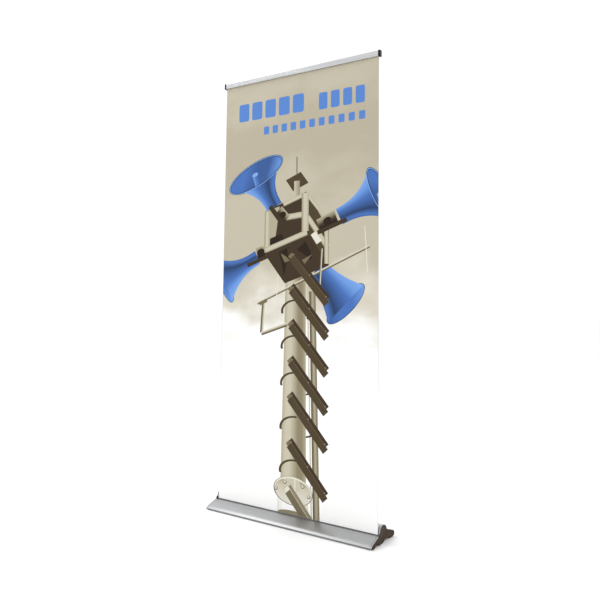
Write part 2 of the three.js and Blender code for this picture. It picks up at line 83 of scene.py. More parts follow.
# %% Places read from the frame
MM = 0.001
TINY = 1e-7  # metres, under which two points are one
sheet_low, sheet_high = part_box("banner_sheet")
SHEET_PLANE = (sheet_low.y + sheet_high.y) / 2
SHEET_HALF = sheet_high.x / MM
BAR_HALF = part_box("base_housing")[1].x / MM
CAP_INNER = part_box("end_cap_right")[0].x / MM
CAP_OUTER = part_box("end_cap_right")[1].x / MM
COVER_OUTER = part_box("side_cover_right")[1].x / MM
RAIL_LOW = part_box("rail_body")[0].z / MM
RAIL_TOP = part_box("rail_body")[1].z / MM
GAP = 0.3  # between fitted pieces
SIDES = {"left": -1, "right": 1}
print("sheet plane y", round(SHEET_PLANE, 4), "base half length", round(COVER_OUTER, 1), "mm")


# %% [markdown]
# The camera stands to the right of the stand at chest height and looks up a little. It is three
# metres away, so that the whole stand is in view. A small downward lens shift frames the stand
# without a steeper tilt, which would make the uprights lean.

# %% Camera
def make_camera(place, yaw, pitch, roll, lens, shift):
    """A camera that looks along +Y, then turned by yaw, pitch and roll in radians."""
    data = bpy.data.cameras.new("camera")
    data.lens = lens
    data.shift_x, data.shift_y = shift
    camera = bpy.data.objects.new("camera", data)
    bpy.context.scene.collection.objects.link(camera)
    level = Matrix.Rotation(math.pi / 2, 4, "X")
    aim = Matrix.Rotation(yaw, 4, "Z") @ Matrix.Rotation(pitch, 4, "X") @ level
    camera.matrix_world = Matrix.Translation(place) @ aim @ Matrix.Rotation(-roll, 4, "Z")
    bpy.context.scene.camera = camera
    return camera


camera = make_camera(
    place=(1.651, -2.439, 0.993), yaw=0.5782, pitch=0.0782, roll=-0.0106, lens=38.51,
    shift=(-0.0156, -0.0867))
print("camera at", [round(value, 2) for value in camera.location])

# %% [markdown]
# Every finish below starts from the same three things: a Principled shader, the object's own
# coordinates, and a noise that may be stretched along one axis. Extruded and drawn metal has
# fine lines along its length, so its noise is stretched along that axis. Moulded plastic has an
# even grain. Colour, roughness and height all read the same noise, so a darker line is also a
# little rougher and deeper, as it is on real metal.


# %% Finish helpers
NOISE_LOW, NOISE_HIGH = 0.3, 0.7  # most of a noise's values lie between these


class Canvas:
    """A node tree, and a short way to add nodes and links to it."""

    def __init__(self, tree):
        self.tree = tree

    def node(self, kind, **settings):
        made = self.tree.nodes.new("ShaderNode" + kind)
        for setting, value in settings.items():
            setattr(made, setting, value)
        return made

    def link(self, start, end):
        self.tree.links.new(start, end)


class Finish(Canvas):
    """One material: a Principled shader, and the nodes that vary its colour, gloss and height."""

    def __init__(self, name, roughness, metallic=0.0):
        self.material = bpy.data.materials.new(name)
        self.material.use_nodes = True
        super().__init__(self.material.node_tree)
        self.shader = self.tree.nodes["Principled BSDF"]
        self.shader.inputs["Roughness"].default_value = roughness
        self.shader.inputs["Metallic"].default_value = metallic
        self.roughness = roughness

    def noise(self, scale, stretch=(1, 1, 1), detail=4.0):
        """Noise on the object's own coordinates, in features per metre."""
        place = self.node("TexCoord")
        mapping = self.node("Mapping")
        mapping.inputs["Scale"].default_value = stretch
        self.link(place.outputs["Object"], mapping.inputs["Vector"])
        made = self.node("TexNoise")
        made.inputs["Scale"].default_value = scale
        made.inputs["Detail"].default_value = detail
        self.link(mapping.outputs["Vector"], made.inputs["Vector"])
        return made.outputs["Fac"]

    def span(self, value, low, high):
        """Maps the middle of a noise's range to low..high."""
        made = self.node("MapRange")
        made.inputs["From Min"].default_value = NOISE_LOW
        made.inputs["From Max"].default_value = NOISE_HIGH
        made.inputs["To Min"].default_value = low
        made.inputs["To Max"].default_value = high
        self.link(value, made.inputs["Value"])
        return made.outputs["Result"]

    def tint(self, value, dark, light):
        """Colour runs from dark to light with a noise."""
        ramp = self.node("ValToRGB")
        ends = zip(ramp.color_ramp.elements, (NOISE_LOW, NOISE_HIGH), (dark, light))
        for stop, position, colour in ends:
            stop.position = position
            stop.color = (*colour, 1)
        self.link(value, ramp.inputs["Fac"])
        self.link(ramp.outputs["Color"], self.shader.inputs["Base Color"])

    def vary_gloss(self, value, amount):
        spread = self.span(value, self.roughness - amount, self.roughness + amount)
        self.link(spread, self.shader.inputs["Roughness"])

    def relief(self, value, depth):
        """Height in metres."""
        bump = self.node("Bump")
        bump.inputs["Strength"].default_value = 1.0
        bump.inputs["Distance"].default_value = depth
        self.link(value, bump.inputs["Height"])
        self.link(bump.outputs["Normal"], self.shader.inputs["Normal"])


# %% [markdown]
# Two makers cover every plain finish. Drawn metal stretches its noise into lines, and a moulding
# keeps it even; each takes a dark and a light colour, so that no surface is one flat tone.


# %% Drawn metal and mouldings
METAL_SPREAD, PLASTIC_SPREAD = 0.05, 0.08  # how far roughness strays
FINE = 0.00002  # metres deep, a scratch or a grain too small to feel


def drawn(name, dark, light, roughness, stretch):
    """Metal pulled through a die: fine lines along the axis that is stretched least."""
    finish = Finish(name, roughness, metallic=1.0)
    lines = finish.noise(1.0, stretch)
    finish.tint(lines, dark, light)
    finish.vary_gloss(lines, METAL_SPREAD)
    finish.relief(lines, FINE)
    return finish


def moulded(name, dark, light, roughness, grain, depth, metallic=0.0, specular=0.5):
    """Plastic with the even grain of a spark-eroded mould."""
    finish = Finish(name, roughness, metallic)
    finish.shader.inputs["Specular IOR Level"].default_value = specular
    even = finish.noise(grain, detail=2.0)
    finish.tint(even, dark, light)
    finish.vary_gloss(even, PLASTIC_SPREAD)
    finish.relief(even, depth)
    return finish


# %% [markdown]
# The stand uses fourteen finishes, besides the print and the back of the sheet. The base and the
# pole are satin anodised, the rail is a brighter anodising, and the end plates are painted
# plastic with a fine sparkle in it. The side covers are a warm near-black, which sets them off
# from the cold black of the small caps. Grain is in features per metre, and depth in metres.

# %% Finishes
# How close the noise lies along X, Y and Z: wide apart along a line, and close across it.
ALONG_X = (3, 900, 900)
ALONG_Z = (900, 900, 3)
TURNED = (250, 250, 2500)

# Dark and light colour, roughness, and the lines' direction.
METALS = {
    "satin_aluminium": ((0.35, 0.355, 0.36), (0.45, 0.455, 0.46), 0.4, ALONG_X),
    "rail_aluminium": ((0.48, 0.49, 0.50), (0.68, 0.69, 0.70), 0.36, ALONG_X),
    "tube_aluminium": ((0.42, 0.425, 0.43), (0.56, 0.565, 0.57), 0.33, ALONG_Z),
    "steel": ((0.42, 0.43, 0.44), (0.58, 0.59, 0.60), 0.28, TURNED),
    "spring_steel": ((0.10, 0.10, 0.11), (0.20, 0.205, 0.21), 0.36, TURNED),
}
# Dark and light colour, roughness, grain and its depth, and where needed metallic and specular.
MOULDINGS = {
    "silver_plastic": ((0.38, 0.39, 0.41), (0.52, 0.53, 0.55), 0.42, 4500, 0.00001, 0.6),
    "dark_plastic": ((0.030, 0.018, 0.009), (0.060, 0.036, 0.020), 0.55, 1600, 0.00005, 0, 0.15),
    "black_plastic": ((0.004, 0.004, 0.005), (0.010, 0.010, 0.013), 0.4, 2200, 0.00003, 0, 0.2),
    "guide_plastic": ((0.17, 0.175, 0.185), (0.21, 0.215, 0.225), 0.4, 900, 0.00002),
    "rubber": ((0.010, 0.010, 0.010), (0.026, 0.026, 0.025), 0.85, 900, 0.00008),
    "felt": ((0.02, 0.02, 0.022), (0.07, 0.07, 0.075), 0.95, 2500, 0.0004),
    "nylon": ((0.66, 0.63, 0.55), (0.78, 0.75, 0.67), 0.45, 400, 0.00002),
    "elastic": ((0.006, 0.006, 0.007), (0.03, 0.03, 0.033), 0.85, 1800, 0.0003),
    "leader_film": ((0.78, 0.78, 0.77), (0.86, 0.86, 0.85), 0.5, 700, 0.00002),
}
EXTRAS = [
    ("felt", "Sheen Weight", 0.6),
    ("elastic", "Sheen Weight", 0.3),
    ("nylon", "Subsurface Weight", 0.15),
    ("nylon", "Subsurface Scale", 0.002),
]

made_finishes = {name: drawn(name, *look) for name, look in METALS.items()}
made_finishes.update({name: moulded(name, *look) for name, look in MOULDINGS.items()})
for name, socket, value in EXTRAS:
    made_finishes[name].shader.inputs[socket].default_value = value
finishes = {name: finish.material for name, finish in made_finishes.items()}
print(len(finishes), "finishes")

# %% [markdown]
# The printed sheet has a finish of its own, drawn further down. Every piece of the frame now
# gets the finish that the record gives it. Pieces that are remodelled below hide theirs later.

# %% Finishes on the frame's own pieces
slots = {row["node"]: row["material_slot"] for row in frame["record"]["subparts"]}
for node, piece in frame["nodes"].items():
    finish = finishes.get(slots[node])
    if finish:
        piece.data.materials.clear()
        piece.data.materials.append(finish)
print(len(slots), "pieces in the frame")

# %% [markdown]
# These helpers turn an outline into a solid. An outline is a walk round a section: each corner
# gives its depth, its height and how far along each side its rounding starts, and each turn
# spins the last point about a centre. The finished outline becomes one face, its corners are
# rounded by a vertex bevel, and the face is extruded along X. The two ends are rounded by small
# insets that step outwards, which stay clean where an edge bevel would trip over tiny sides.


# %% Outline helpers
CORNER_STEPS = 4


def corner(depth, height, ease=0.0):
    return ("corner", depth, height, ease)


def corners(*points):
    return [corner(*point) for point in points]


def turn(depth, height, degrees, steps):
    return ("turn", depth, height, degrees, steps)


def in_section(depth, height, x=0.0):
    """A point in metres, from its depth behind the sheet and its height in millimetres."""
    return Vector((x * MM, SHEET_PLANE + depth * MM, height * MM))


def outline_face(bm, walk):
    """Walks round an outline, fills it with one face and rounds its corners."""
    eased = {}
    last = None
    first = None
    for kind, depth, height, *how in walk:
        if kind == "turn":
            degrees, steps = how
            spun = bmesh.ops.spin(
                bm, geom=[last], cent=in_section(depth, height), axis=(1, 0, 0),
                angle=math.radians(degrees), steps=steps, use_merge=False, use_duplicate=False)
            last = next(item for item in spun["geom_last"] if isinstance(item, bmesh.types.BMVert))
            continue
        vertex = bm.verts.new(in_section(depth, height))
        if last is None:
            first = vertex
        else:
            bm.edges.new((last, vertex))
        if how[0]:
            eased.setdefault(how[0], []).append(vertex)
        last = vertex
    bm.edges.new((last, first))
    bmesh.ops.contextual_create(bm, geom=bm.edges[:])
    for ease, vertices in eased.items():
        bmesh.ops.bevel(
            bm, geom=vertices, offset=ease * MM, offset_type="OFFSET", segments=CORNER_STEPS,
            profile=0.5, affect="VERTICES", clamp_overlap=True, material=-1)
    return bm.faces[:]


# %% [markdown]
# A bar is an outline with a length. Most of the stand is a bar that runs from end to end, and
# its plates, covers, pads and caps are short bars at one end or the other.


# %% Bars
def end_faces(bm, x):
    """The flat faces that close a bar at one place along X."""
    return [face for face in bm.faces
            if abs(face.normal.x) > 0.99 and abs(face.calc_center_median().x - x * MM) < 0.01 * MM]


QUARTER_CIRCLE = [(0.08, 0.38), (0.21, 0.33), (0.71, 0.29)]  # three steps, each in and out


def round_end(bm, faces, radius):
    """Turns the rim of an end face over by a small radius, outwards along its normal."""
    for inwards, outwards in QUARTER_CIRCLE:
        bmesh.ops.inset_region(
            bm, faces=faces, thickness=inwards * radius * MM, depth=outwards * radius * MM,
            use_even_offset=True)


def bar(walk, x_from, x_to, rounding=0.3):
    """An outline pushed along X between two places, with both rims rounded."""
    bm = bmesh.new()
    faces = outline_face(bm, walk)
    bmesh.ops.translate(bm, verts=bm.verts[:], vec=((x_from + rounding) * MM, 0, 0))
    pushed = bmesh.ops.extrude_face_region(bm, geom=faces)
    moved = [item for item in pushed["geom"] if isinstance(item, bmesh.types.BMVert)]
    bmesh.ops.translate(bm, verts=moved, vec=((x_to - x_from - 2 * rounding) * MM, 0, 0))
    bmesh.ops.recalc_face_normals(bm, faces=bm.faces[:])
    for x in (x_from + rounding, x_to - rounding):
        round_end(bm, end_faces(bm, x), rounding)
    return bm


def at_end(walk, side, near, far, rounding=0.3):
    """A bar at one end of the stand, between two distances from the middle."""
    x_from, x_to = (near, far) if side > 0 else (-far, -near)
    return bar(walk, x_from, x_to, rounding)


# %% [markdown]
# Round pieces are turned instead: a profile is a list of radius and height, spun once round Z.
# Holes are cut with rods and blocks by Blender's exact boolean, which keeps flat faces flat.


# %% Turned, round and square solids
def lathe(profile, steps=48, closed=False):
    """Spins a profile of (radius, height) in millimetres round Z."""
    bm = bmesh.new()
    points = [bm.verts.new((radius * MM, 0, height * MM)) for radius, height in profile]
    pairs = list(zip(points, points[1:]))
    if closed:
        pairs.append((points[-1], points[0]))
    edges = [bm.edges.new(pair) for pair in pairs]
    bmesh.ops.spin(
        bm, geom=points + edges, cent=(0, 0, 0), axis=(0, 0, 1), angle=2 * math.pi,
        steps=steps, use_merge=True, use_duplicate=False)
    bmesh.ops.remove_doubles(bm, verts=bm.verts[:], dist=TINY)
    bmesh.ops.recalc_face_normals(bm, faces=bm.faces[:])
    return bm


def rod(radius, start, end, sides=32):
    """A straight rod between two points in metres."""
    bm = bmesh.new()
    reach = Vector(end) - Vector(start)
    place = Matrix.Translation((Vector(start) + Vector(end)) / 2)
    aim = reach.to_track_quat("Z", "Y").to_matrix().to_4x4()
    bmesh.ops.create_cone(
        bm, cap_ends=True, segments=sides, radius1=radius * MM, radius2=radius * MM,
        depth=reach.length, matrix=place @ aim)
    return bm


def block(low, high, rounding=0.0, segments=3):
    """A box between two corners in millimetres, with its edges rounded."""
    bm = bmesh.new()
    size = [(b - a) * MM for a, b in zip(low, high)]
    centre = [(a + b) / 2 * MM for a, b in zip(low, high)]
    bmesh.ops.create_cube(bm, size=1, matrix=Matrix.LocRotScale(centre, None, size))
    if rounding:
        bmesh.ops.bevel(
            bm, geom=bm.edges[:], offset=rounding * MM, segments=segments, profile=0.5,
            affect="EDGES", material=-1)
    return bm


def end_block(side, reach, depths, heights, rounding):
    """A block at one end of the stand, from three pairs of limits."""
    left, right = sorted(side * distance for distance in reach)
    plane = SHEET_PLANE / MM
    low = (left, plane + depths[0], heights[0])
    return block(low, (right, plane + depths[1], heights[1]), rounding, 2)


# %% [markdown]
# A solid becomes a piece in two steps. Cutters are taken out of it or blocks joined to it, and
# then it gets its name, its finish and the body that it moves with.


# %% Cutting and finishing
def move(bm, matrix):
    bmesh.ops.transform(bm, matrix=matrix, verts=bm.verts[:])
    return bm


def as_object(bm, name):
    mesh = bpy.data.meshes.new(name)
    bm.to_mesh(mesh)
    bm.free()
    made = bpy.data.objects.new(name, mesh)
    bpy.context.scene.collection.objects.link(made)
    return made


def combined(bm, others, operation="DIFFERENCE"):
    """Cuts other solids out of one solid, or joins them to it."""
    whole = as_object(bm, "whole")
    tools = [as_object(other, "tool") for other in others]
    for tool in tools:
        modifier = whole.modifiers.new("cut", "BOOLEAN")
        modifier.operation = operation
        modifier.solver = "EXACT"
        modifier.object = tool
    bpy.context.view_layer.update()
    evaluated = whole.evaluated_get(bpy.context.evaluated_depsgraph_get())
    result = bmesh.new()
    result.from_mesh(evaluated.to_mesh())
    evaluated.to_mesh_clear()
    for temporary in [whole, *tools]:
        bpy.data.meshes.remove(temporary.data)
    return result


def finished(bm, name, body, slot, *nodes, angle=30, finish=None):
    """Names a solid, gives it its finish, and lets it ride its body in place of CAD nodes."""
    bmesh.ops.dissolve_degenerate(bm, dist=TINY, edges=bm.edges[:])
    made = as_object(bm, name)
    made.data.shade_smooth()
    made.data.set_sharp_from_angle(angle=math.radians(angle))
    look = finishes.get(finish or slot)
    if look:
        made.data.materials.append(look)
    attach(made, body)
    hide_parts(*nodes)
    size = [round(value / MM, 1) for value in made.dimensions]
    print(f"{name}: {len(made.data.polygons)} faces, {size} mm")
    return made


# %% [markdown]
# The base is one extrusion. From the front it has a rounded nose, a flat deck that rises to the
# slot where the sheet comes out, a round hump over the roller and a deck that falls to the tail.
# Inside the hump is the bore that the roller turns in. The end plates and side covers follow the
# same outline, so it is kept as two walks: the rear with the hump, and the deck with the nose.

# %% Section of the base
HUMP = (30, 42)
REAR_AND_HUMP = [
    *corners(
        (118, 9, 0.4), (120, 5, 1.0), (127, 5, 1.2), (130, 9, 1.2), (130, 17, 2.5),
        (126, 22.5, 2.5), (117, 27, 4.0), (58.62, 46.65)),
    turn(*HUMP, 144.5, 36),
]
DECK_AND_NOSE = corners(
    (-4, 32.5, 0.7), (-6, 34, 0.5), (-9, 34, 1.5), (-63, 15.5, 4.0), (-75, 8, 2.2),
    (-73, 4, 1.2), (-68, 4, 1.0), (-66, 9, 0.4))
ROLLER = (30, 41)
BORE = 26.2
BORE_START, BORE_TURN = 169, -324  # degrees


def bore_point(degrees):
    angle = math.radians(degrees)
    return corner(ROLLER[0] + BORE * math.cos(angle), ROLLER[1] + BORE * math.sin(angle))


base_walk = [
    *REAR_AND_HUMP,
    corner(4, 47, 0.2),
    bore_point(BORE_START),
    turn(*ROLLER, BORE_TURN, 48),
    corner(-4, 30, 0.3),
    *DECK_AND_NOSE,
]

# %% [markdown]
# The pole leans forwards as it rises, so that its head meets the rail. Its foot and its head give
# a leaning frame, and the collar at its foot has another one that lies on the sloping rear deck.

# %% Pole line and rear deck line
DECK_HIGH, DECK_LOW = (58.3, 46.6), (117, 27)
POLE_FOOT = in_section(77, 14)
POLE_HEAD = in_section(20, RAIL_LOW - 2.5)
POLE_LEAN = math.atan2(POLE_FOOT.y - POLE_HEAD.y, POLE_HEAD.z - POLE_FOOT.z)
POLE_PLACE = Matrix.Translation(POLE_FOOT) @ Matrix.Rotation(POLE_LEAN, 4, "X")
DECK_SLOPE = math.atan((DECK_HIGH[1] - DECK_LOW[1]) / (DECK_HIGH[0] - DECK_LOW[0]))
COLLAR_DEPTH = 76
COLLAR_HEIGHT = DECK_LOW[1] + (COLLAR_DEPTH - DECK_LOW[0]) * math.tan(DECK_SLOPE)
COLLAR_PLACE = (Matrix.Translation(in_section(COLLAR_DEPTH, COLLAR_HEIGHT))
                @ Matrix.Rotation(DECK_SLOPE, 4, "X"))
COLLAR_SCREW_X = 20
COLLAR_THICK = 3
SOCKET_RADIUS = 11.5


def along(place, x, y, z):
    """A point given in millimetres in a leaning frame."""
    return place @ Vector((x * MM, y * MM, z * MM))


def rod_along(place, radius, x, low, high, sides):
    """A rod that stands in a leaning frame, x to the side of its middle."""
    return rod(radius, along(place, x, 0, low), along(place, x, 0, high), sides)


def rod_across(point, radius, side, near, far, sides):
    """A rod along X at one point of the section, between two distances from the middle."""
    return rod(radius, in_section(*point, side * near), in_section(*point, side * far), sides)


# %% [markdown]
# The extrusion is pushed out in one go and then drilled. The rear deck is pierced for the pole's
# socket, and the belly is not. Two thin holes beside it take the collar's screws, and three in
# each end take the screws of the end plate.

# %% Base extrusion
SCREW_PLACES = [(-60, 12.6), (53, 15), (121.5, 15.5)]
PLATE_HOLE, COLLAR_HOLE = 1.8, 1.6  # radii
HOLE_DEPTH = 22


def base_extrusion():
    cutters = [rod_along(POLE_PLACE, SOCKET_RADIUS + GAP, 0, -1, 60, 48)]
    for side in SIDES.values():
        cutters.append(rod_along(COLLAR_PLACE, COLLAR_HOLE, side * COLLAR_SCREW_X, -7, 2, 16))
        for point in SCREW_PLACES:
            near, far = BAR_HALF - HOLE_DEPTH, BAR_HALF + 2
            cutters.append(rod_across(point, PLATE_HOLE, side, near, far, 16))
    return combined(bar(base_walk, -BAR_HALF, BAR_HALF), cutters)


finished(base_extrusion(), "base_shell", "base", "satin_aluminium", "base_housing")

# %% [markdown]
# Each end is closed by a silver plate with the same outline. The slot runs out through it as an
# open notch. The plate stands a little off the bar and its rims are rounded more, which leaves
# the thin dark seam that one sees between the deck and the plate. Inside, one plate has a round
# pocket for the roller's bush, and the other a six-sided one that stops the spring's shaft.

# %% End plates
notched_walk = [*REAR_AND_HUMP, corner(4, 30, 0.3), corner(-4, 30, 0.3), *DECK_AND_NOSE]
SCREW_SEAT = 3
HEAD_HOLE = 3.7
POCKET_FLOOR = 430.5
POCKETS = {"left": (7.3, 32), "right": (5.1, 6)}  # radius and sides
SEAM = 0.9


def end_plate(side_name):
    side = SIDES[side_name]
    plate = at_end(notched_walk, side, CAP_INNER + SEAM, CAP_OUTER, rounding=SEAM)
    cutters = []
    for point in SCREW_PLACES:
        for radius, near in [(PLATE_HOLE, CAP_INNER - 1), (HEAD_HOLE, CAP_OUTER - SCREW_SEAT)]:
            cutters.append(rod_across(point, radius, side, near, CAP_OUTER + 1, 20))
    radius, sides = POCKETS[side_name]
    cutters.append(rod_across(ROLLER, radius, side, CAP_INNER - 1, POCKET_FLOOR, sides))
    return combined(plate, cutters)


for name in SIDES:
    finished(end_plate(name), f"end_plate_{name}", "base", "silver_plastic", f"end_cap_{name}")

# %% [markdown]
# A dark cover clips over each plate and carries the feet. Its lower edge is cut away in two
# arches, so that the stand rests on its toe, its middle and its tail only. The outer face has a
# shallow sunk panel, as such mouldings have to stop the flat face from showing sink marks.

# %% Side covers
FOOT_LOW, FOOT_TOP = 2.3, 8.7
cover_walk = [
    *corners(
        (-71, FOOT_LOW, 0.6), (-46, FOOT_LOW, 0.8), (-41, 6, 1.5), (-34, 8, 2.0), (-22, 8, 2.0),
        (-16, 5.5, 1.5), (-12, FOOT_LOW, 0.8), (28, FOOT_LOW, 0.8), (32, 5.5, 1.2), (36, 10, 1.5),
        (44, 11.5, 2.5), (74, 10.5, 4.0), (86, 6.5, 3.0), (92, FOOT_LOW, 1.0),
        (123, FOOT_LOW, 1.5), (129, 6, 1.5), (131, 11, 1.5)),
    *REAR_AND_HUMP[4:],
    *corners((4, 47, 0.4), (-4, 43, 1.0)),
    *DECK_AND_NOSE[1:5],
    corner(-75, 5, 0.5),
]
panel_walk = [
    *corners((123, 6, 2.0), (127, 12, 2.0), (126, 16.5, 2.0), (115, 23.3, 3.0), (56, 43)),
    turn(*HUMP, 150, 36),
    *corners(
        (7, 44, 2.5), (-1, 41, 2.0), (-4, 30.5, 1.5), (-8, 30.5, 1.5), (-60, 12.6, 3.0),
        (-70.5, 7, 1.2), (-69, 5.8, 0.6), (-47, 5.8, 2.0), (-42, 9.5, 2.0), (-34, 11.5, 3.0),
        (-22, 11.5, 3.0), (-14, 9, 2.0), (-10, 5.8, 2.0), (26, 5.8, 1.5), (29, 8, 1.5),
        (34, 13.5, 2.5), (44, 15, 3.0), (75, 14, 4.0), (88, 9.8, 3.0), (93, 6, 2.0)),
]
FEET = {"toe": (-66, -46), "middle": (-12, 28), "tail": (92, 117)}
PANEL_SUNK = 0.5


def side_cover(side):
    cover = at_end(cover_walk, side, CAP_OUTER + GAP, COVER_OUTER, rounding=0.8)
    panel = at_end(panel_walk, side, COVER_OUTER - PANEL_SUNK, COVER_OUTER + 2, rounding=0.25)
    cover = combined(cover, [panel])
    reach = (BAR_HALF + GAP, COVER_OUTER - 1)
    feet = [end_block(side, reach, depths, (FOOT_LOW, FOOT_TOP), 0.3) for depths in FEET.values()]
    return combined(cover, feet, "UNION")


for name, side in SIDES.items():
    cover = side_cover(side)
    finished(cover, f"cover_{name}", "base", "dark_plastic", f"side_cover_{name}")

# %% [markdown]
# A rubber pad is glued under each foot. Three grooves across its sole let it grip a dusty floor.

# %% Rubber pads
PAD_THICK = 2.0
GROOVE = 0.7  # deep


def pad_walk(near, far):
    """The pad's outline, with three grooves in the sole."""
    walk = [corner(near, 0, 0.4)]
    for share in (0.25, 0.5, 0.75):
        middle = near + (far - near) * share
        walk += corners(
            (middle - 0.8, 0), (middle - 0.5, GROOVE, 0.15), (middle + 0.5, GROOVE, 0.15),
            (middle + 0.8, 0))
    return walk + corners((far, 0, 0.4), (far, PAD_THICK, 0.3), (near, PAD_THICK, 0.3))


for name, side in SIDES.items():
    for foot, (near, far) in FEET.items():
        pad = at_end(pad_walk(near + 1, far - 1), side, BAR_HALF + 1, CAP_OUTER + 2, 0.3)
        finished(pad, f"pad_{foot}_{name}", "base", "rubber", f"rubber_pad_{foot}_{name}")

# %% [markdown]
# The sheet comes up through the slot between two strips. A smooth dark one guards the deck's
# rear edge, and a felt one on the hump's lip wipes the back of the sheet as it is pulled out.

# %% Slot strips
guide_walk = corners(
    (-3.7, 31, 0.2), (-2, 31, 0.4), (-1.2, 33.5, 0.5), (-1.8, 35.3, 0.7), (-6.4, 35.1, 0.4),
    (-6.4, 34.3, 0.15), (-5.6, 34.3), (-3.7, 32.8))
felt_walk = corners(
    (2.3, 47.3, 0.5), (3.7, 47.3, 0.2), (3.7, 53, 0.2), (2.3, 53, 0.6))
STRIP_HALF = BAR_HALF - GAP
guide = bar(guide_walk, -STRIP_HALF, STRIP_HALF, 0.2)
finished(
    guide, "slot_guide", "base", "black_plastic", "slot_guide_strip", finish="guide_plastic")
felt_strip = bar(felt_walk, -STRIP_HALF, STRIP_HALF, 0.2)
finished(felt_strip, "slot_felt", "base", "felt", "slot_felt_strip")

# %% [markdown]
# Screws are turned: a domed head and a shank with a blunt point. The cross recess is two slots
# cut with the boolean. One function makes all eight, each laid on its line.


# %% Screws
def screw(head, shank, length):
    """A pan-head screw on the Z axis, its head above the origin and its point below."""
    body = lathe([
        (0, -length), (shank * 0.6, -length), (shank, -length + 1), (shank, 0), (head, 0),
        (head, 0.8), (head * 0.94, 1.3), (head * 0.75, 1.7), (head * 0.45, 1.92), (0, 2)], 32)
    slots = []
    for turned in (0, math.pi / 2):
        slot = block((-head * 0.52, -0.3, 1.0), (head * 0.52, 0.3, 3.0))
        slots.append(move(slot, Matrix.Rotation(turned, 4, "Z")))
    return combined(body, slots)


SCREW_NAMES = ["front", "middle", "rear"]
SCREW_HEAD = 3.4
for name, side in SIDES.items():
    facing = Matrix.Rotation(side * math.pi / 2, 4, "Y")
    for place, (depth, height) in zip(SCREW_NAMES, SCREW_PLACES):
        seat = in_section(depth, height, side * (CAP_OUTER - SCREW_SEAT + GAP))
        made = move(screw(SCREW_HEAD, 1.5, 20), Matrix.Translation(seat) @ facing)
        finished(made, f"plate_screw_{place}_{name}", "base", "steel", f"cap_screw_{place}_{name}")
    lift = Matrix.Translation((side * COLLAR_SCREW_X * MM, 0, (COLLAR_THICK + 2 * GAP) * MM))
    made = move(screw(SCREW_HEAD, 1.3, 9.6), COLLAR_PLACE @ lift)
    finished(made, f"deck_screw_{name}", "base", "steel", f"collar_screw_{name}")

# %% [markdown]
# The rail is a second extrusion in two halves. The body is the back and the top, with a rib that
# presses the sheet. The jaw is the front and hinges at the top, and it snaps shut on the sheet.
# Three shallow flutes along the jaw catch the light, which is what makes a bright rail look
# drawn rather than cast.

# %% Rail body and jaw
RAIL_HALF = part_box("rail_body")[1].x / MM
GRIP_LOW, GRIP_HIGH = RAIL_LOW + 5, RAIL_LOW + 8.4
BACK = 9  # half the rail's depth
WALL_FACE = BACK - 3.5
rail_walk = corners(
    (WALL_FACE, RAIL_LOW, 0.4), (BACK, RAIL_LOW, 0.8), (BACK, RAIL_TOP - 2, 1.2),
    (BACK - 2, RAIL_TOP, 1.2), (-4, RAIL_TOP, 0.3), (-4, RAIL_TOP - 3, 0.3),
    (WALL_FACE, RAIL_TOP - 3, 0.6), (WALL_FACE, GRIP_HIGH + 0.6, 0.4), (0.8, GRIP_HIGH, 0.4),
    (0.8, GRIP_LOW, 0.4), (WALL_FACE, GRIP_LOW - 0.8, 0.4))


def flute(height):
    """A shallow groove across the jaw's front face, walked downwards."""
    return corners(
        (-BACK, height + 0.7, 0.2), (-BACK + 0.45, height, 0.3), (-BACK, height - 0.7, 0.2))


JAW_FACE = -BACK + 3.2
jaw_walk = [
    *corners(
        (-BACK + 1.2, RAIL_LOW + 0.3, 0.5), (JAW_FACE, RAIL_LOW + 0.3, 0.4),
        (JAW_FACE, GRIP_LOW - 0.8, 0.4), (-2.2, GRIP_LOW, 0.3), (-2.2, GRIP_HIGH, 0.3),
        (JAW_FACE, GRIP_HIGH + 0.6, 0.4), (JAW_FACE, RAIL_TOP - 3.5, 0.4),
        (-4.4, RAIL_TOP - 3, 0.2), (-4.4, RAIL_TOP, 0.3), (-BACK + 2, RAIL_TOP, 1.2),
        (-BACK, RAIL_TOP - 2, 1.2)),
    *[step for below in (6, 12.5, 19) for step in flute(RAIL_TOP - below)],
    corner(-BACK, RAIL_LOW + 1.5, 0.5),
]
finished(bar(rail_walk, -RAIL_HALF, RAIL_HALF), "rail_back", "rail", "rail_aluminium", "rail_body")
jaw = bar(jaw_walk, GAP - RAIL_HALF, RAIL_HALF - GAP)
finished(jaw, "rail_front", "jaw", "rail_aluminium", "rail_jaw")

# %% [markdown]
# A black cap plugs each end of the rail. It is a rounded block that stands a little proud of the
# bar, with a tongue that pushes into the hollow behind the sheet.

# %% Rail end caps
CAP_REACH = BACK + 0.5
CAP_PROUD = 1.5
CAP_LOW, CAP_HIGH = RAIL_LOW - CAP_PROUD, RAIL_TOP + CAP_PROUD
CAP_THICK = 8.7
CAP_EASE = 3.0
cap_walk = corners(
    (CAP_REACH, CAP_LOW, CAP_EASE), (CAP_REACH, CAP_HIGH, CAP_EASE),
    (-CAP_REACH, CAP_HIGH, CAP_EASE), (-CAP_REACH, CAP_LOW, CAP_EASE))
for name, side in SIDES.items():
    start = RAIL_HALF + GAP
    cap = at_end(cap_walk, side, start, start + CAP_THICK, 1.2)
    hollow = (GRIP_HIGH + 3, RAIL_TOP - 4)
    tongue = end_block(side, (RAIL_HALF - 14, RAIL_HALF + 2), (0.8, 5), hollow, 0.4)
    cap = combined(cap, [tongue], "UNION")
    finished(cap, f"rail_cap_{name}", "rail", "black_plastic", f"rail_end_cap_{name}")

# %% [markdown]
# The pole is three drawn tubes that push over ferrules, with an elastic cord inside. Each tube
# end is turned in slightly and carries two crimp rings that hold the ferrule, and those rings
# are what tells one section from the next at arm's length.

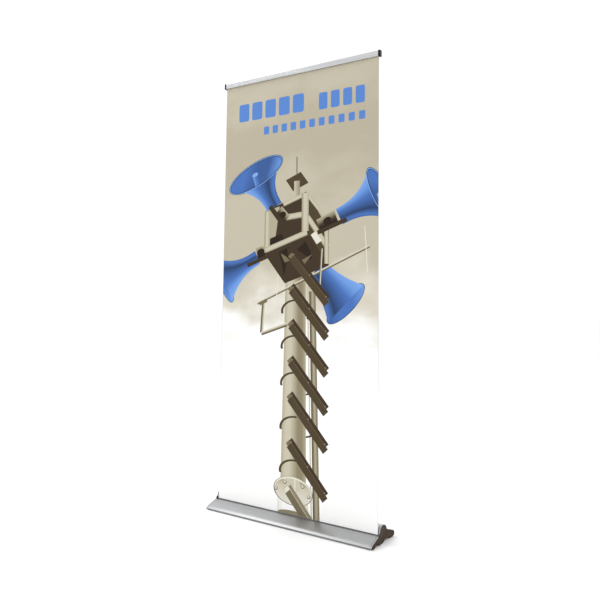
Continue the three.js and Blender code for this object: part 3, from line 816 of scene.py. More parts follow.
# %% Pole sections
TUBE_RADIUS, TUBE_BORE = 8, 7
SECTION = 670
POLE_START = 5.8
HEAD_DROP = 12  # from the rail down to the top of the tube
POLE_END = (POLE_HEAD.z - POLE_FOOT.z) / MM / math.cos(POLE_LEAN) - HEAD_DROP
POLE_ENDS = [POLE_START, POLE_START + SECTION, POLE_START + 2 * SECTION, POLE_END]


CRIMP = [(0, -2), (0.15, -1.3), (0.4, 0), (0.15, 1.3), (0, 2)]  # how deep, and how far along


def crimp(height):
    """One rolled ring: the wall dips by nearly half a millimetre over four."""
    return [(TUBE_RADIUS - dip, height + way) for dip, way in CRIMP]


def pole_tube(low, high):
    outside = [(TUBE_BORE, low), (TUBE_RADIUS - 0.4, low), (TUBE_RADIUS, low + 0.5)]
    for height in (low + 28, low + 36, high - 36, high - 28):
        outside += crimp(height)
    outside += [(TUBE_RADIUS, high - 0.5), (TUBE_RADIUS - 0.4, high), (TUBE_BORE, high)]
    return move(lathe(outside, 48, closed=True), POLE_PLACE)


for name, low, high in zip(["lower", "middle", "upper"], POLE_ENDS, POLE_ENDS[1:]):
    tube = pole_tube(low + GAP, high)
    finished(tube, f"tube_{name}", "pole", "tube_aluminium", f"pole_{name}", angle=50)

# %% [markdown]
# The hook on top is a moulding: a plug inside the tube, a round cap, and a tongue with a
# turned-up nib that reaches under the rail's back wall.

# %% Pole hook
HOOK_REACH = 18.2


def pole_hook():
    top = POLE_END
    stem = lathe([
        (0, top - 25), (6.2, top - 25), (6.8, top - 24.2), (6.8, top + 0.3), (8.6, top + 0.3),
        (9, top + 0.7), (9, top + 12.6), (8.6, top + 13.5), (7.8, top + 14), (0, top + 14)])
    tongue = block((-15, -HOOK_REACH, top + 10), (15, 0, top + 13.8), 0.9)
    nib = block((-14.8, -HOOK_REACH + 0.3, top + 10.3), (14.8, -HOOK_REACH + 2.7, top + 16), 0.8)
    web = block((-1.5, -HOOK_REACH + 6, top + 3), (1.5, -4, top + 11.2), 0.4, 2)
    return move(combined(stem, [tongue, nib, web], "UNION"), POLE_PLACE)


finished(pole_hook(), "hook", "pole", "black_plastic", "pole_hook")

# %% [markdown]
# At the bottom the pole drops into a socket, a cup with a rounded lip that is sunk into the rear
# deck. A flat collar with two screws holds it there. The collar lies on the sloping deck while
# the socket follows the pole, so the hole through the collar is cut along the pole's own line.

# %% Pole socket and collar
SOCKET_BORE, SOCKET_LENGTH, SOCKET_FLOOR = 9.2, 42, 2
SCREW_HOLE = 2
socket = lathe([
    (0, 0), (SOCKET_RADIUS - 0.6, 0), (SOCKET_RADIUS, 0.6), (SOCKET_RADIUS, SOCKET_LENGTH - 0.8),
    (SOCKET_RADIUS - 0.3, SOCKET_LENGTH - 0.2), (SOCKET_RADIUS - 0.9, SOCKET_LENGTH),
    (SOCKET_BORE + 0.7, SOCKET_LENGTH), (SOCKET_BORE + 0.2, SOCKET_LENGTH - 0.3),
    (SOCKET_BORE, SOCKET_LENGTH - 0.9), (SOCKET_BORE, SOCKET_FLOOR), (0, SOCKET_FLOOR)], 64)
finished(move(socket, POLE_PLACE), "socket", "base", "black_plastic", "pole_socket")


def collar_plate():
    plate = block((-27, -17, GAP), (27, 17, GAP + COLLAR_THICK))
    upright = [edge for edge in plate.edges if abs(edge.verts[0].co.z - edge.verts[1].co.z) > MM]
    bmesh.ops.bevel(
        plate, geom=upright, offset=5 * MM, segments=6, profile=0.5, affect="EDGES", material=-1)
    top = (GAP + COLLAR_THICK - 0.1) * MM
    rim = [edge for edge in plate.edges if min(v.co.z for v in edge.verts) > top]
    bmesh.ops.bevel(
        plate, geom=rim, offset=1 * MM, segments=3, profile=0.5, affect="EDGES", material=-1)
    move(plate, COLLAR_PLACE)
    mouth = rod_along(POLE_PLACE, SOCKET_RADIUS + GAP, 0, 0, 70, 64)
    holes = [rod_along(COLLAR_PLACE, SCREW_HOLE, side * COLLAR_SCREW_X, -1, 5, 20)
             for side in SIDES.values()]
    return combined(plate, [mouth, *holes])


finished(collar_plate(), "collar", "base", "black_plastic", "socket_collar")

# %% [markdown]
# The print is drawn in the sheet's own finish, so it stays sharp from any distance and needs no
# picture. Every shape is a number that is below zero inside it: a half plane, a strip, an
# ellipse or a bell. Numbers add, multiply and compare as Math nodes. A shape is painted over
# the colour so far by a Mix node, as paper cut-outs are laid on each other.


# %% Numbers over the print
class Number:
    """A value at every point of the sheet. Arithmetic on it adds Math nodes."""

    def __init__(self, canvas, socket):
        self.canvas = canvas
        self.socket = socket

    def math(self, operation, *values):
        node = self.canvas.node("Math", operation=operation)
        for place, value in enumerate(values):
            if isinstance(value, Number):
                self.canvas.link(value.socket, node.inputs[place])
            else:
                node.inputs[place].default_value = value
        return Number(self.canvas, node.outputs["Value"])

    def __add__(self, other):
        return self.math("ADD", self, other)

    def __sub__(self, other):
        return self.math("SUBTRACT", self, other)

    def __rsub__(self, other):
        return self.math("SUBTRACT", other, self)

    def __mul__(self, other):
        return self.math("MULTIPLY", self, other)

    def __truediv__(self, other):
        return self.math("DIVIDE", self, other)

    def __abs__(self):
        return self.math("ABSOLUTE", self)

    def __pow__(self, power):
        return self.math("POWER", self, power)

    def wrapped(self, period):
        """Repeats every period, from minus half of it to plus half."""
        return self.math("WRAP", self, period / 2, -period / 2)

    def most(self, *others):
        """The largest value, which is inside only where all the shapes are."""
        result = self
        for other in others:
            result = self.math("MAXIMUM", result, other)
        return result


# %% [markdown]
# Places on the print are in metres: across from the sheet's middle, and up from the deck. A
# rotated pair of numbers, along and across, is all that a tilted bar or ellipse needs.


# %% Shapes
class Sheet:
    """One layer of the print: its nodes, the two coordinates and the colour so far."""

    def __init__(self, canvas, x, z, colour):
        self.canvas = canvas
        self.x = Number(canvas, x)
        self.z = Number(canvas, z)
        self.colour = colour

    def turned(self, x, z, degrees):
        """Coordinates along and across a line through a point."""
        cosine, sine = math.cos(math.radians(degrees)), math.sin(math.radians(degrees))
        dx, dz = self.x - x, self.z - z
        return dx * cosine + dz * sine, dz * cosine - dx * sine

    def paint(self, inside, colour):
        """Lays a colour over the print wherever inside is below zero."""
        cover = inside.math("LESS_THAN", inside, 0.0)
        mix = self.canvas.node("Mix", data_type="RGBA", blend_type="MIX")
        self.canvas.link(cover.socket, mix.inputs["Factor"])
        self.canvas.link(self.colour, mix.inputs["A"])
        if isinstance(colour, tuple):
            mix.inputs["B"].default_value = (*colour, 1)
        else:
            self.canvas.link(colour, mix.inputs["B"])
        self.colour = mix.outputs["Result"]

    def shade(self, number, low, high, colours):
        """Colours spread evenly between two values of a number."""
        spread = self.canvas.node("MapRange")
        spread.inputs["From Min"].default_value = low
        spread.inputs["From Max"].default_value = high
        self.canvas.link(number.socket, spread.inputs["Value"])
        ramp = self.canvas.node("ValToRGB")
        stops = ramp.color_ramp.elements
        while len(stops) < len(colours):
            stops.new(0.5)
        for place, (stop, colour) in enumerate(zip(stops, colours)):
            stop.position = place / (len(colours) - 1)
            stop.color = (*colour, 1)
        self.canvas.link(spread.outputs["Result"], ramp.inputs["Fac"])
        return ramp.outputs["Color"]

    def bar(self, x0, z0, x1, z1, half):
        """A straight bar between two points."""
        degrees = math.degrees(math.atan2(z1 - z0, x1 - x0))
        length, across = self.turned((x0 + x1) / 2, (z0 + z1) / 2, degrees)
        reach = math.hypot(x1 - x0, z1 - z0) / 2
        return (abs(length) - reach).most(abs(across) - half), across

    def tube(self, ends, half, colours):
        """A straight bar that is shaded from one side to the other."""
        shape, across = self.bar(*ends, half)
        self.paint(shape, self.shade(across, -half, half, colours))

    def patch(self, colour, *points):
        """A flat convex shape in one colour."""
        self.paint(self.convex(*points), colour)

    def convex(self, *points):
        """A convex shape, its corners listed anticlockwise."""
        inside = None
        for (x0, z0), (x1, z1) in zip(points, (*points[1:], points[0])):
            length = math.hypot(x1 - x0, z1 - z0)
            nx, nz = (z1 - z0) / length, (x0 - x1) / length
            beyond = self.x * nx + self.z * nz - (x0 * nx + z0 * nz)
            inside = beyond if inside is None else inside.most(beyond)
        return inside

    def ellipse(self, x, z, half_along, half_across, degrees):
        length, across = self.turned(x, z, degrees)
        return (length / half_along) ** 2 + (across / half_across) ** 2 - 1


# %% [markdown]
# One tree with every shape in it would be slow to build and to draw. Each part of the picture
# therefore gets a node group, which takes the two coordinates and the colour so far, and hands
# back the colour with its own shapes on top.

# %% Layers
LAYER_INPUTS = {"X": "NodeSocketFloat", "Z": "NodeSocketFloat", "Colour": "NodeSocketColor"}


def add_layer(sheet, name, paint, *details, **more):
    """Paints one part of the picture in a node group of its own, which keeps each tree small."""
    tree = bpy.data.node_groups.new(name, "ShaderNodeTree")
    for label, kind in LAYER_INPUTS.items():
        tree.interface.new_socket(label, in_out="INPUT", socket_type=kind)
    tree.interface.new_socket("Colour", in_out="OUTPUT", socket_type="NodeSocketColor")
    inward = tree.nodes.new("NodeGroupInput").outputs
    layer = Sheet(Canvas(tree), inward["X"], inward["Z"], inward["Colour"])
    paint(layer, *details, **more)
    outward = tree.nodes.new("NodeGroupOutput")
    tree.links.new(layer.colour, outward.inputs["Colour"])
    group = sheet.canvas.node("Group", node_tree=tree)
    for label, socket in [("X", sheet.x.socket), ("Z", sheet.z.socket), ("Colour", sheet.colour)]:
        sheet.canvas.link(socket, group.inputs[label])
    sheet.colour = group.outputs["Colour"]
    print(name, len(tree.nodes), "nodes")


# %% [markdown]
# Colours are chosen as they look in print and turned to linear light, which nodes work in. The
# blues are the horns', and the stones and umbers are the weathered steel of the mast.


# %% Print colours
def printed(red, green, blue):
    """Linear light from a colour as a painter names it, 0 to 255."""
    return tuple(((value / 255 + 0.055) / 1.055) ** 2.4 for value in (red, green, blue))


SKY_HIGH = printed(194, 187, 167)
SKY_LOW = printed(184, 176, 155)
CLOUD = printed(216, 211, 196)
PAPER = printed(255, 255, 254)
# Painted shade: the grey of a thin band down the sheet's side edges, for the shade on its cut edge.
EDGE_SHADE_GREY = printed(176, 174, 168)
INK_BLUE = printed(90, 134, 205)
BLUE_PALE = printed(128, 170, 232)
BLUE_LIGHT = printed(108, 152, 220)
BLUE = printed(74, 114, 184)
BLUE_DEEP = printed(60, 92, 150)
BLUE_DARK = printed(42, 64, 100)
STONE_PALE = printed(226, 223, 208)
STONE_LIGHT = printed(200, 194, 173)
STONE = printed(176, 168, 144)
STONE_MID = printed(142, 133, 107)
STONE_DARK = printed(118, 108, 84)
UMBER = printed(78, 65, 46)
UMBER_DEEP = printed(64, 51, 36)
UMBER_DARK = printed(42, 31, 22)


# %% [markdown]
# The picture is a plain one of its own: a loudspeaker mast with four blue horns against a sepia
# sky that fades to white paper. The heading is two rows of plain blue blocks, which stand where
# a customer's wording would go. A hair of grey down both sides is painted shade, which stands in
# for the shade on the film's cut edge.


# %% Sky
def sky_colour(sheet, uv):
    canvas = sheet.canvas
    mapping = canvas.node("Mapping")
    mapping.inputs["Scale"].default_value = (1.9, 6.8, 1)
    mapping.inputs["Rotation"].default_value = (0, 0, math.radians(12))
    canvas.link(uv, mapping.inputs["Vector"])
    cloud = canvas.node("TexNoise")
    cloud.inputs["Scale"].default_value = 1.6
    cloud.inputs["Detail"].default_value = 6.0
    cloud.inputs["Roughness"].default_value = 0.48
    canvas.link(mapping.outputs["Vector"], cloud.inputs["Vector"])
    puff = Number(canvas, cloud.outputs["Fac"]) - 0.5
    height = sheet.z + puff * 0.62
    return sheet.shade(
        height, 0.60, 1.95,
        [PAPER, PAPER, CLOUD, SKY_HIGH, SKY_HIGH, SKY_HIGH, SKY_LOW, SKY_LOW, SKY_HIGH])


# %% [markdown]
# A row of blocks is one block, repeated: the number across wraps round once per block. A high
# even power of both numbers, added, gives a block whose corners are softly rounded.


# %% Heading blocks
ROUND_POWER = 8
ROW_MARGIN = 0.004
ROWS = [  # left, right, low, high, blocks, and how much of its pitch a block fills
    (-0.352, 0.048, 1.818, 1.905, 5, 0.78),
    (0.112, 0.366, 1.812, 1.890, 4, 0.72),
    (-0.200, 0.370, 1.738, 1.776, 11, 0.60),
]


def paint_heading(sheet):
    for left, right, low, high, blocks, share in ROWS:
        pitch = (right - left) / blocks
        inner = abs((sheet.x - (left + pitch / 2)).wrapped(pitch))
        beside = (inner / (pitch * share / 2)) ** ROUND_POWER
        above = (abs(sheet.z - (low + high) / 2) / ((high - low) / 2)) ** ROUND_POWER
        ends = (sheet.x - right + ROW_MARGIN).most(sheet.x * -1 + left + ROW_MARGIN)
        sheet.paint((beside + above - 1).most(ends), INK_BLUE)


# %% [markdown]
# A horn is a bell whose half width grows with a power of the way from its neck to its rim. The
# rim may be turned a little against the axis, so the bell is drawn square to the rim and its
# neck is slid sideways. A horn that faces the viewer shows its dark throat and the small driver
# in it. One that faces away shows the outside only, lit from the upper left.


# %% Horns
LINE = 0.003  # the dark outline round a rim
LIP = 0.004  # the pale rolled edge of a mouth
DRIVER_HALF = 0.018


def paint_horn(sheet, neck, rim, neck_half, rim_half, rim_depth, tilt=0.0, mouth=False, swell=2.6):
    dx, dz = rim[0] - neck[0], rim[1] - neck[1]
    degrees = math.degrees(math.atan2(dz, dx)) + tilt
    cosine, sine = math.cos(math.radians(degrees)), math.sin(math.radians(degrees))
    length = dx * cosine + dz * sine
    slide = dx * sine - dz * cosine
    past, across = sheet.turned(*rim, degrees)
    share = (past / length + 1).most(0.0)
    half = share ** swell * (rim_half - neck_half) + neck_half
    side = across - (1 - share) * slide
    body = (abs(side) - half).most(past, past * -1 - length)
    outside = sheet.shade(
        side / half + share * 0.35, -1.0, 1.35,
        [BLUE_DEEP, BLUE, BLUE_DARK, BLUE_DEEP, BLUE, BLUE_LIGHT, BLUE_PALE])
    x, z = rim

    def mouth_within(depth_less, half_less):
        return sheet.ellipse(x, z, rim_depth - depth_less, rim_half - half_less, degrees)

    sheet.paint(mouth_within(-LINE, -LINE), BLUE_DARK)
    if not mouth:
        lit = sheet.shade(
            across + past * 0.6, -rim_half, rim_half, [BLUE_DEEP, BLUE, BLUE, BLUE_LIGHT])
        sheet.paint(mouth_within(0, 0), lit)
        sheet.paint(body, outside)
        return
    sheet.paint(body, outside)
    sheet.paint(mouth_within(0, 0), BLUE_PALE)
    sheet.paint(mouth_within(LINE, LIP), BLUE_DARK)
    inside = mouth_within(LINE + LIP, 2 * LIP)
    throat = sheet.shade(
        across * -1 - past * 0.9, -rim_half, rim_half,
        [BLUE, BLUE, BLUE_DEEP, BLUE_DEEP, BLUE_LIGHT])
    sheet.paint(inside, throat)
    driver, beside = sheet.bar(x + 0.018, z - 0.050, x - 0.002, z + 0.002, DRIVER_HALF)
    round_driver = sheet.shade(
        beside, -DRIVER_HALF, DRIVER_HALF, [BLUE_DEEP, BLUE, BLUE_LIGHT])
    sheet.paint(driver.most(inside), round_driver)
    cap = sheet.ellipse(x - 0.002, z + 0.002, DRIVER_HALF / 2, DRIVER_HALF, 108)
    sheet.paint(cap.most(inside), BLUE_PALE)


# %% [markdown]
# The mast is a tall tube with clamp rings, a thinner pipe beside it and a flight of slanting
# steps. A ring is the upper left part of an ellipse's outline. All steps lie at one slope, so
# one turned pair of numbers serves them all, and each step only shifts it.


# %% Mast
RINGS = [1.055, 0.90, 0.74, 0.575, 0.38, 0.19]
STEPS = [1.165, 1.015, 0.855, 0.69, 0.53, 0.325]
STRAPS = [0.88, 0.72, 0.545, 0.36]
STEP_SLOPE = -47.5
STEP_LENGTH = 0.284


def paint_column(sheet):
    beyond = sheet.z * 0.033 + sheet.x - 0.128
    pipe = (abs(beyond) - 0.017).most(sheet.z - 0.99)
    sheet.paint(pipe, sheet.shade(
        beyond, -0.018, 0.018, [UMBER, STONE_DARK, STONE, STONE_MID, STONE_DARK]))
    thin = (abs(beyond + 0.026) - 0.004).most(sheet.z - 1.02)
    sheet.paint(thin, sheet.shade(beyond, -0.03, -0.022, [STONE_PALE, STONE]))
    for height in STRAPS:
        sheet.paint(sheet.bar(0.066, height - 0.012, 0.125, height + 0.004, 0.004)[0], UMBER)
    offset = sheet.x - 0.004
    flare = sheet.z * -0.015 + 0.071
    tube = (abs(offset) - flare).most(sheet.z - 1.15, 0.10 - sheet.z)
    sheet.paint(tube, sheet.shade(
        offset / flare, -1, 1,
        [STONE, STONE_LIGHT, STONE_LIGHT, STONE, STONE_MID, STONE_MID, STONE]))
    for height in RINGS:
        round_it = sheet.ellipse(0.010, height, 0.082, 0.052, 0)
        outline = (abs(round_it + 0.08) - 0.15).most(height - 0.012 - sheet.z, sheet.x - 0.020)
        sheet.paint(outline, UMBER)


def paint_channel(sheet, x, z, upper, lower, line):
    """One step: a thin flange over a deeper one, with a lit edge between and bolts on it."""
    down, out = sheet.turned(x, z, STEP_SLOPE)
    half = STEP_LENGTH / 2
    run = abs(down - half) - half
    lowered = abs(down - half - 0.014) - half
    sheet.paint((abs(out + 0.0165) - 0.0165).most(lowered), lower)
    sheet.paint((abs(out - 0.008) - 0.0095).most(run), upper)
    sheet.paint((abs(out) - 0.0009).most(lowered), line)
    bolt = abs((down - half).wrapped(0.13)) - 0.003
    sheet.paint(bolt.most(abs(out - 0.003) - 0.0025, run), STONE_MID)
    sheet.paint((abs(down - 0.006) - 0.008).most(abs(out + 0.012) - 0.013), line)


def paint_steps(sheet):
    for height in STEPS:
        paint_channel(sheet, -0.018, height, UMBER_DEEP, UMBER, STONE_DARK)


# %% [markdown]
# The head of the mast is an open frame. Its two sides and its floor are painted dark first, and
# the pale beams are laid over them. Behind each horn stand a driver and its bracket.


# %% Mast head
HEAD_BEAMS = [
    (-0.162, 1.362, -0.162, 1.186, 0.013),
    (-0.168, 1.182, 0.064, 1.256, 0.013),
    (-0.069, 1.392, 0.046, 1.430, 0.010),
    (-0.060, 1.330, 0.050, 1.340, 0.014),
    (0.062, 1.428, 0.148, 1.330, 0.007),
    (0.066, 1.326, 0.172, 1.186, 0.013),
    (0.166, 1.262, 0.168, 1.112, 0.011),
    (0.052, 1.438, 0.053, 1.262, 0.019),
]


LEFT, FRONT, RIGHT = (-0.177, 1.168), (0.074, 1.248), (0.180, 1.104)
LEFT_HIGH, FRONT_HIGH, RIGHT_HIGH = (-0.177, 1.366), (0.057, 1.443), (0.179, 1.264)
HEAD_SIDES = [
    (UMBER_DEEP, LEFT, FRONT, FRONT_HIGH, LEFT_HIGH),
    (STONE, LEFT, (-0.120, 1.190), (-0.090, 1.385), LEFT_HIGH),
    (UMBER_DARK, (-0.144, 1.200), (-0.060, 1.228), (-0.080, 1.256), (-0.144, 1.236)),
    (UMBER, FRONT, RIGHT, RIGHT_HIGH, FRONT_HIGH),
    (UMBER_DEEP, LEFT, (-0.056, 1.026), RIGHT, FRONT),
    (UMBER_DARK, (-0.090, 1.170), (-0.060, 1.060), (-0.040, 1.150), (-0.045, 1.190)),
    (UMBER_DARK, (0.010, 1.180), (0.090, 1.130), (0.085, 1.170), (0.055, 1.215)),
    (STONE_DARK, (-0.082, 1.166), (-0.058, 1.122), (-0.030, 1.130), (-0.050, 1.150)),
    (STONE_DARK, (0.030, 1.128), (0.052, 1.112), (0.092, 1.156), (0.070, 1.146)),
]


def paint_head(sheet):
    sheet.paint(sheet.bar(0.005, 1.53, 0.004, 1.61, 0.003)[0], STONE_DARK)
    sheet.patch(UMBER, (-0.057, 1.505), (-0.015, 1.450), (0.069, 1.482), (0.026, 1.537))
    sheet.tube((0.007, 1.38, 0.006, 1.497), 0.016, [STONE_MID, STONE, STONE_LIGHT])
    for colour, *points in HEAD_SIDES:
        sheet.patch(colour, *points)
    for *ends, half in HEAD_BEAMS:
        sheet.tube(ends, half, [STONE_MID, STONE_LIGHT, STONE_LIGHT, STONE])
    sheet.patch(STONE_PALE, (0.084, 1.244), (0.116, 1.200), (0.143, 1.216), (0.108, 1.258))


DRIVERS = [  # the driver's ends and half width, then the bracket's
    ((-0.098, 1.366, -0.052, 1.318), 0.028, (-0.146, 1.389, -0.062, 1.290), 0.012),
    ((0.124, 1.284, 0.216, 1.322), 0.028, (0.120, 1.252, 0.270, 1.304), 0.010),
    ((-0.220, 1.168, -0.176, 1.180), 0.026, (-0.276, 1.112, -0.158, 1.152), 0.009),
]


def paint_arms(sheet):
    """The driver and the bracket behind each horn."""
    for ends, half, bracket, bracket_half in DRIVERS:
        x0, z0, x1, z1 = ends
        sheet.tube(ends, half, [UMBER_DARK, UMBER_DARK, UMBER, STONE_MID, STONE])
        sheet.paint(sheet.ellipse((x0 + x1) / 2, (z0 + z1) / 2, 0.022, 0.016, 25), UMBER_DARK)
        sheet.paint(sheet.bar(*bracket, bracket_half)[0], UMBER_DEEP)


# %% [markdown]
# Thin pipes cross in front of the mast and hang below its head. At the bottom the mast opens
# into a bolted flange, and one more step passes in front of it.


# %% Pipes and base flange
PIPES = [
    (-0.174, 0.940, -0.184, 0.796, 0.010),
    (-0.186, 0.792, -0.040, 0.840, 0.009),
    (-0.212, 0.932, 0.382, 1.182, 0.006),
    (0.143, 1.180, 0.132, 0.976, 0.005),
]
RODS = [(0.359, 1.272, 0.373, 1.072), (-0.093, 1.068, -0.109, 0.866)]
FLANGE_BOLTS = [(-0.040, 0.138), (0.056, 0.132), (-0.088, 0.104), (0.088, 0.094)]


def paint_pipes(sheet):
    for *ends, half in PIPES:
        sheet.tube(ends, half, [UMBER, STONE_DARK, STONE_LIGHT, STONE_PALE])
    sheet.paint(sheet.bar(-0.200, 0.930, -0.156, 0.948, 0.008)[0], STONE_DARK)
    for ends in RODS:
        sheet.paint(sheet.bar(*ends, 0.0018)[0], STONE_PALE)


def paint_flange(sheet):
    lower = (abs(sheet.x - 0.003) - 0.083).most(sheet.z - 0.10)
    sheet.paint(lower, sheet.shade(
        sheet.x, -0.09, 0.09, [STONE_PALE, PAPER, PAPER, CLOUD, STONE_PALE]))
    shadow = sheet.ellipse(0.003, 0.006, 0.080, 0.016, 0)
    sheet.paint(shadow.most(sheet.x - 0.05), STONE_MID)
    sheet.paint(sheet.ellipse(0.003, 0.106, 0.105, 0.062, -3), STONE_DARK)
    sheet.paint(sheet.ellipse(0.004, 0.108, 0.101, 0.059, -3), STONE_PALE)
    well = sheet.ellipse(0.004, 0.103, 0.099, 0.056, -3)
    sheet.paint(well, sheet.shade(sheet.z, 0.05, 0.165, [STONE_PALE, CLOUD, STONE_LIGHT, STONE_MID]))
    sheet.paint((abs(sheet.x + 0.004) - 0.044).most(well, 0.11 - sheet.z), STONE_LIGHT)
    sheet.paint((abs(sheet.x - 0.014) - 0.003).most(well, 0.085 - sheet.z), STONE_PALE)
    for x, z in FLANGE_BOLTS:
        sheet.paint(sheet.ellipse(x, z, 0.010, 0.007, 20), STONE_DARK)
        sheet.paint(sheet.ellipse(x - 0.001, z + 0.001, 0.006, 0.004, 20), STONE_PALE)
    paint_channel(sheet, -0.022, 0.122, STONE_MID, STONE_DARK, STONE_PALE)


# %% [markdown]
# The layers go on from the back to the front. At the end a fine grain breaks up the flat inks,
# and a matt laminate gives the sheet its soft gloss.


# %% Printed face
DECK_TOP = 0.034  # metres above the floor, where the print's own heights start
# Width of the painted shade band down the sheet's side edges, in metres.
EDGE_SHADE_WIDTH = 0.0012


def paint_picture(sheet):
    add_layer(sheet, "heading", paint_heading)
    add_layer(
        sheet, "horn_low_right", paint_horn, (0.116, 1.086), (0.266, 0.936), 0.058, 0.120, 0.040,
        tilt=-2, swell=1.9)
    add_layer(
        sheet, "horn_low_left", paint_horn, (-0.215, 1.150), (-0.420, 1.045), 0.034, 0.120, 0.034)
    add_layer(sheet, "column", paint_column)
    add_layer(sheet, "head", paint_head)
    add_layer(
        sheet, "horn_high_right", paint_horn, (0.232, 1.317), (0.436, 1.402), 0.039, 0.130, 0.040,
        tilt=5, mouth=True)
    add_layer(
        sheet, "horn_high_left", paint_horn, (-0.120, 1.384), (-0.236, 1.546), 0.045, 0.170, 0.058,
        tilt=-13, mouth=True)
    add_layer(sheet, "arms", paint_arms)
    add_layer(sheet, "pipes", paint_pipes)
    add_layer(sheet, "flange", paint_flange)
    add_layer(sheet, "steps", paint_steps)
    # Painted shade: a thin grey band down both side edges stands in for the shade on the cut edge.
    sheet.paint(SHEET_HALF * MM - EDGE_SHADE_WIDTH - abs(sheet.x), EDGE_SHADE_GREY)


# %% [markdown]
# The finish reads its places from the sheet's own UV map, so the print moves with the sheet.


# %% Finish of the printed face
def printed_face():
    finish = Finish("printed_film", 0.5)
    uv = finish.node("UVMap", uv_map="print").outputs["UV"]
    split = finish.node("SeparateXYZ")
    finish.link(uv, split.inputs["Vector"])
    sheet = Sheet(finish, split.outputs["X"], split.outputs["Y"], None)
    sheet.x = (sheet.x - 0.5) * (2 * SHEET_HALF * MM)
    sheet.z = sheet.z * (sheet_high.z - sheet_low.z) + (sheet_low.z - DECK_TOP)
    sheet.colour = sky_colour(sheet, uv)
    paint_picture(sheet)
    grain = finish.noise(900, detail=2.0)
    light = finish.span(grain, 0.965, 1.0)
    inked = finish.node("Mix", data_type="RGBA", blend_type="MULTIPLY")
    inked.inputs["Factor"].default_value = 1.0
    finish.link(sheet.colour, inked.inputs["A"])
    finish.link(light, inked.inputs["B"])
    finish.link(inked.outputs["Result"], finish.shader.inputs["Base Color"])
    finish.shader.inputs["Specular IOR Level"].default_value = 0.12
    finish.vary_gloss(grain, METAL_SPREAD)
    finish.relief(grain, FINE)
    return finish


face_finish = printed_face()
print("print:", len(face_finish.tree.nodes), "nodes")

# %% [markdown]
# The back of a roll-up sheet is a light grey stopping layer, so that no light shines through.


# %% Back of the sheet
back_finish = moulded("sheet_back", (0.50, 0.50, 0.50), (0.56, 0.56, 0.56), 0.55, 1200, 0.00003)

# %% [markdown]
# A plain white leader ties the sheet to the roller. It ends inside the slot, under the sheet's
# foot, so that the print runs down out of sight.

# %% Leader
SHEET_FOOT = sheet_low.z - 5.5 * MM
leader = bmesh.new()
leader.from_mesh(bpy.data.objects["banner_leader"].data)
bmesh.ops.remove_doubles(leader, verts=leader.verts[:], dist=0.01 * MM)
bmesh.ops.bisect_plane(
    leader, geom=leader.verts[:] + leader.edges[:] + leader.faces[:],
    plane_co=(0, 0, SHEET_FOOT - GAP * MM), plane_no=(0, 0, 1), clear_outer=True)
bmesh.ops.holes_fill(leader, edges=[edge for edge in leader.edges if edge.is_boundary])
bmesh.ops.recalc_face_normals(leader, faces=leader.faces[:])
finished(leader, "leader", "base", "leader_film", "banner_leader")

# %% [markdown]
# The sheet itself is a grid of two skins, less than half a millimetre apart. It is stretched
# between slot and rail but never quite flat: its free edges curl forwards by a hair, and the
# middle bows back by half a millimetre. Both fade out at the slot and at the rail, where it is
# held, and both are small enough to pass the rail's rib when the sheet has gone down. It keeps
# its own UV map, so that the print stays on it as it goes down.


# %% Sheet
BOW, CURL = 0.5 * MM, 0.4 * MM
THICK = 0.8 * (sheet_high.y - sheet_low.y)


def banner():
    height = sheet_high.z - SHEET_FOOT
    place = Matrix.LocRotScale(
        Vector((0, SHEET_PLANE, (SHEET_FOOT + sheet_high.z) / 2)),
        Matrix.Rotation(math.pi / 2, 3, "X"), (SHEET_HALF * MM, height / 2, 1))
    bm = bmesh.new()
    bmesh.ops.create_grid(bm, x_segments=34, y_segments=60, size=1, matrix=place)
    bmesh.ops.recalc_face_normals(bm, faces=bm.faces[:])
    for vertex in bm.verts:
        up = (vertex.co.z - SHEET_FOOT) / height
        side = vertex.co.x / (SHEET_HALF * MM)
        slack = math.sin(math.pi * up) ** 2
        vertex.co.y += slack * (BOW * (1 - side * side) - CURL * side ** 8)
    bmesh.ops.solidify(bm, geom=bm.faces[:], thickness=THICK)
    bmesh.ops.recalc_face_normals(bm, faces=bm.faces[:])
    coordinates = bm.loops.layers.uv.new("print")
    for face in bm.faces:
        face.material_index = 0 if face.normal.y < -0.5 else 1
        for loop in face.loops:
            x, y, z = loop.vert.co
            across = x / (2 * SHEET_HALF * MM) + 0.5
            loop[coordinates].uv = (across, (z - sheet_low.z) / (sheet_high.z - sheet_low.z))
    return bm


sheet = finished(banner(), "banner", "base", "printed_film", "banner_sheet")
sheet.data.materials.append(face_finish.material)
sheet.data.materials.append(back_finish.material)
depths = [vertex.co.y for vertex in sheet.data.vertices]
print("banner y:", round(min(depths), 4), "to", round(max(depths), 4))
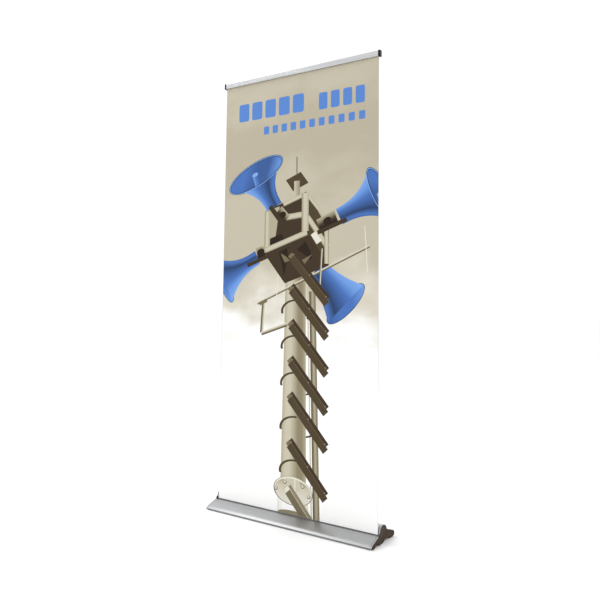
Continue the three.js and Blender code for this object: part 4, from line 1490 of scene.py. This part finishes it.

# %% [markdown]
# When the rail comes down, a real sheet winds onto the roller. What is left of it at the bottom
# is worked out from the rail's own travel, and the sheet gets a mesh of its own.

# %% Sheet and the rail's travel
draw = next(joint for joint in frame["joints"] if joint["name"] == "banner_draw")
travel = abs(draw["range_m"][0])
left = 1 - travel / (sheet_high.z - SHEET_FOOT)
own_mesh(sheet)
print("share of the sheet left:", round(left, 4))

# %% [markdown]
# The studio is a pale floor and an even white surround, with one large softbox overhead on the
# left and a weaker one behind, so that the metal has something to reflect from every side. The
# Standard view shows white as white, which suits a product shot on a white ground.


# %% Studio
def softbox(name, place, target, width, depth, watts):
    data = bpy.data.lights.new(name, "AREA")
    data.shape = "RECTANGLE"
    data.size, data.size_y = width, depth
    data.energy = watts
    lamp = bpy.data.objects.new(name, data)
    lamp.location = place
    lamp.rotation_euler = (Vector(target) - Vector(place)).to_track_quat("-Z", "Y").to_euler()
    bpy.context.scene.collection.objects.link(lamp)


# %% [markdown]
# The floor is a wide disc with a faint speckle, and the surround is a plain white light.


# %% Floor and surround
def make_floor(radius):
    bm = bmesh.new()
    bmesh.ops.create_circle(bm, cap_ends=True, segments=96, radius=radius)
    floor = as_object(bm, "floor")
    finish = Finish("studio_floor", 0.7)
    speckle = finish.noise(60, detail=2.0)
    finish.tint(speckle, (0.93, 0.93, 0.93), (0.95, 0.95, 0.95))
    floor.data.materials.append(finish.material)
    floor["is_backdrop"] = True


def make_surround(strength):
    world = bpy.data.worlds.new("surround")
    world.use_nodes = True
    background = world.node_tree.nodes["Background"]
    background.inputs["Color"].default_value = (1, 1, 1, 1)
    background.inputs["Strength"].default_value = strength
    bpy.context.scene.world = world


make_floor(radius=60)
make_surround(strength=1.06)
softbox(
    "softbox_above", place=(-2.3, -0.1, 3.4), target=(-2.3, -0.11, 0), width=3.2, depth=1.3,
    watts=46)
softbox(
    "softbox_back", place=(-1.0, 3.0, 2.8), target=(0, 0, 0.8), width=2.0, depth=2.0, watts=16)
bpy.context.scene.view_settings.view_transform = "Standard"

# %% [markdown]
# Last comes the size of what shows.

# %% Size of what shows
low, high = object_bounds()
print("visual size:", [round(b - a, 4) for a, b in zip(low, high)])
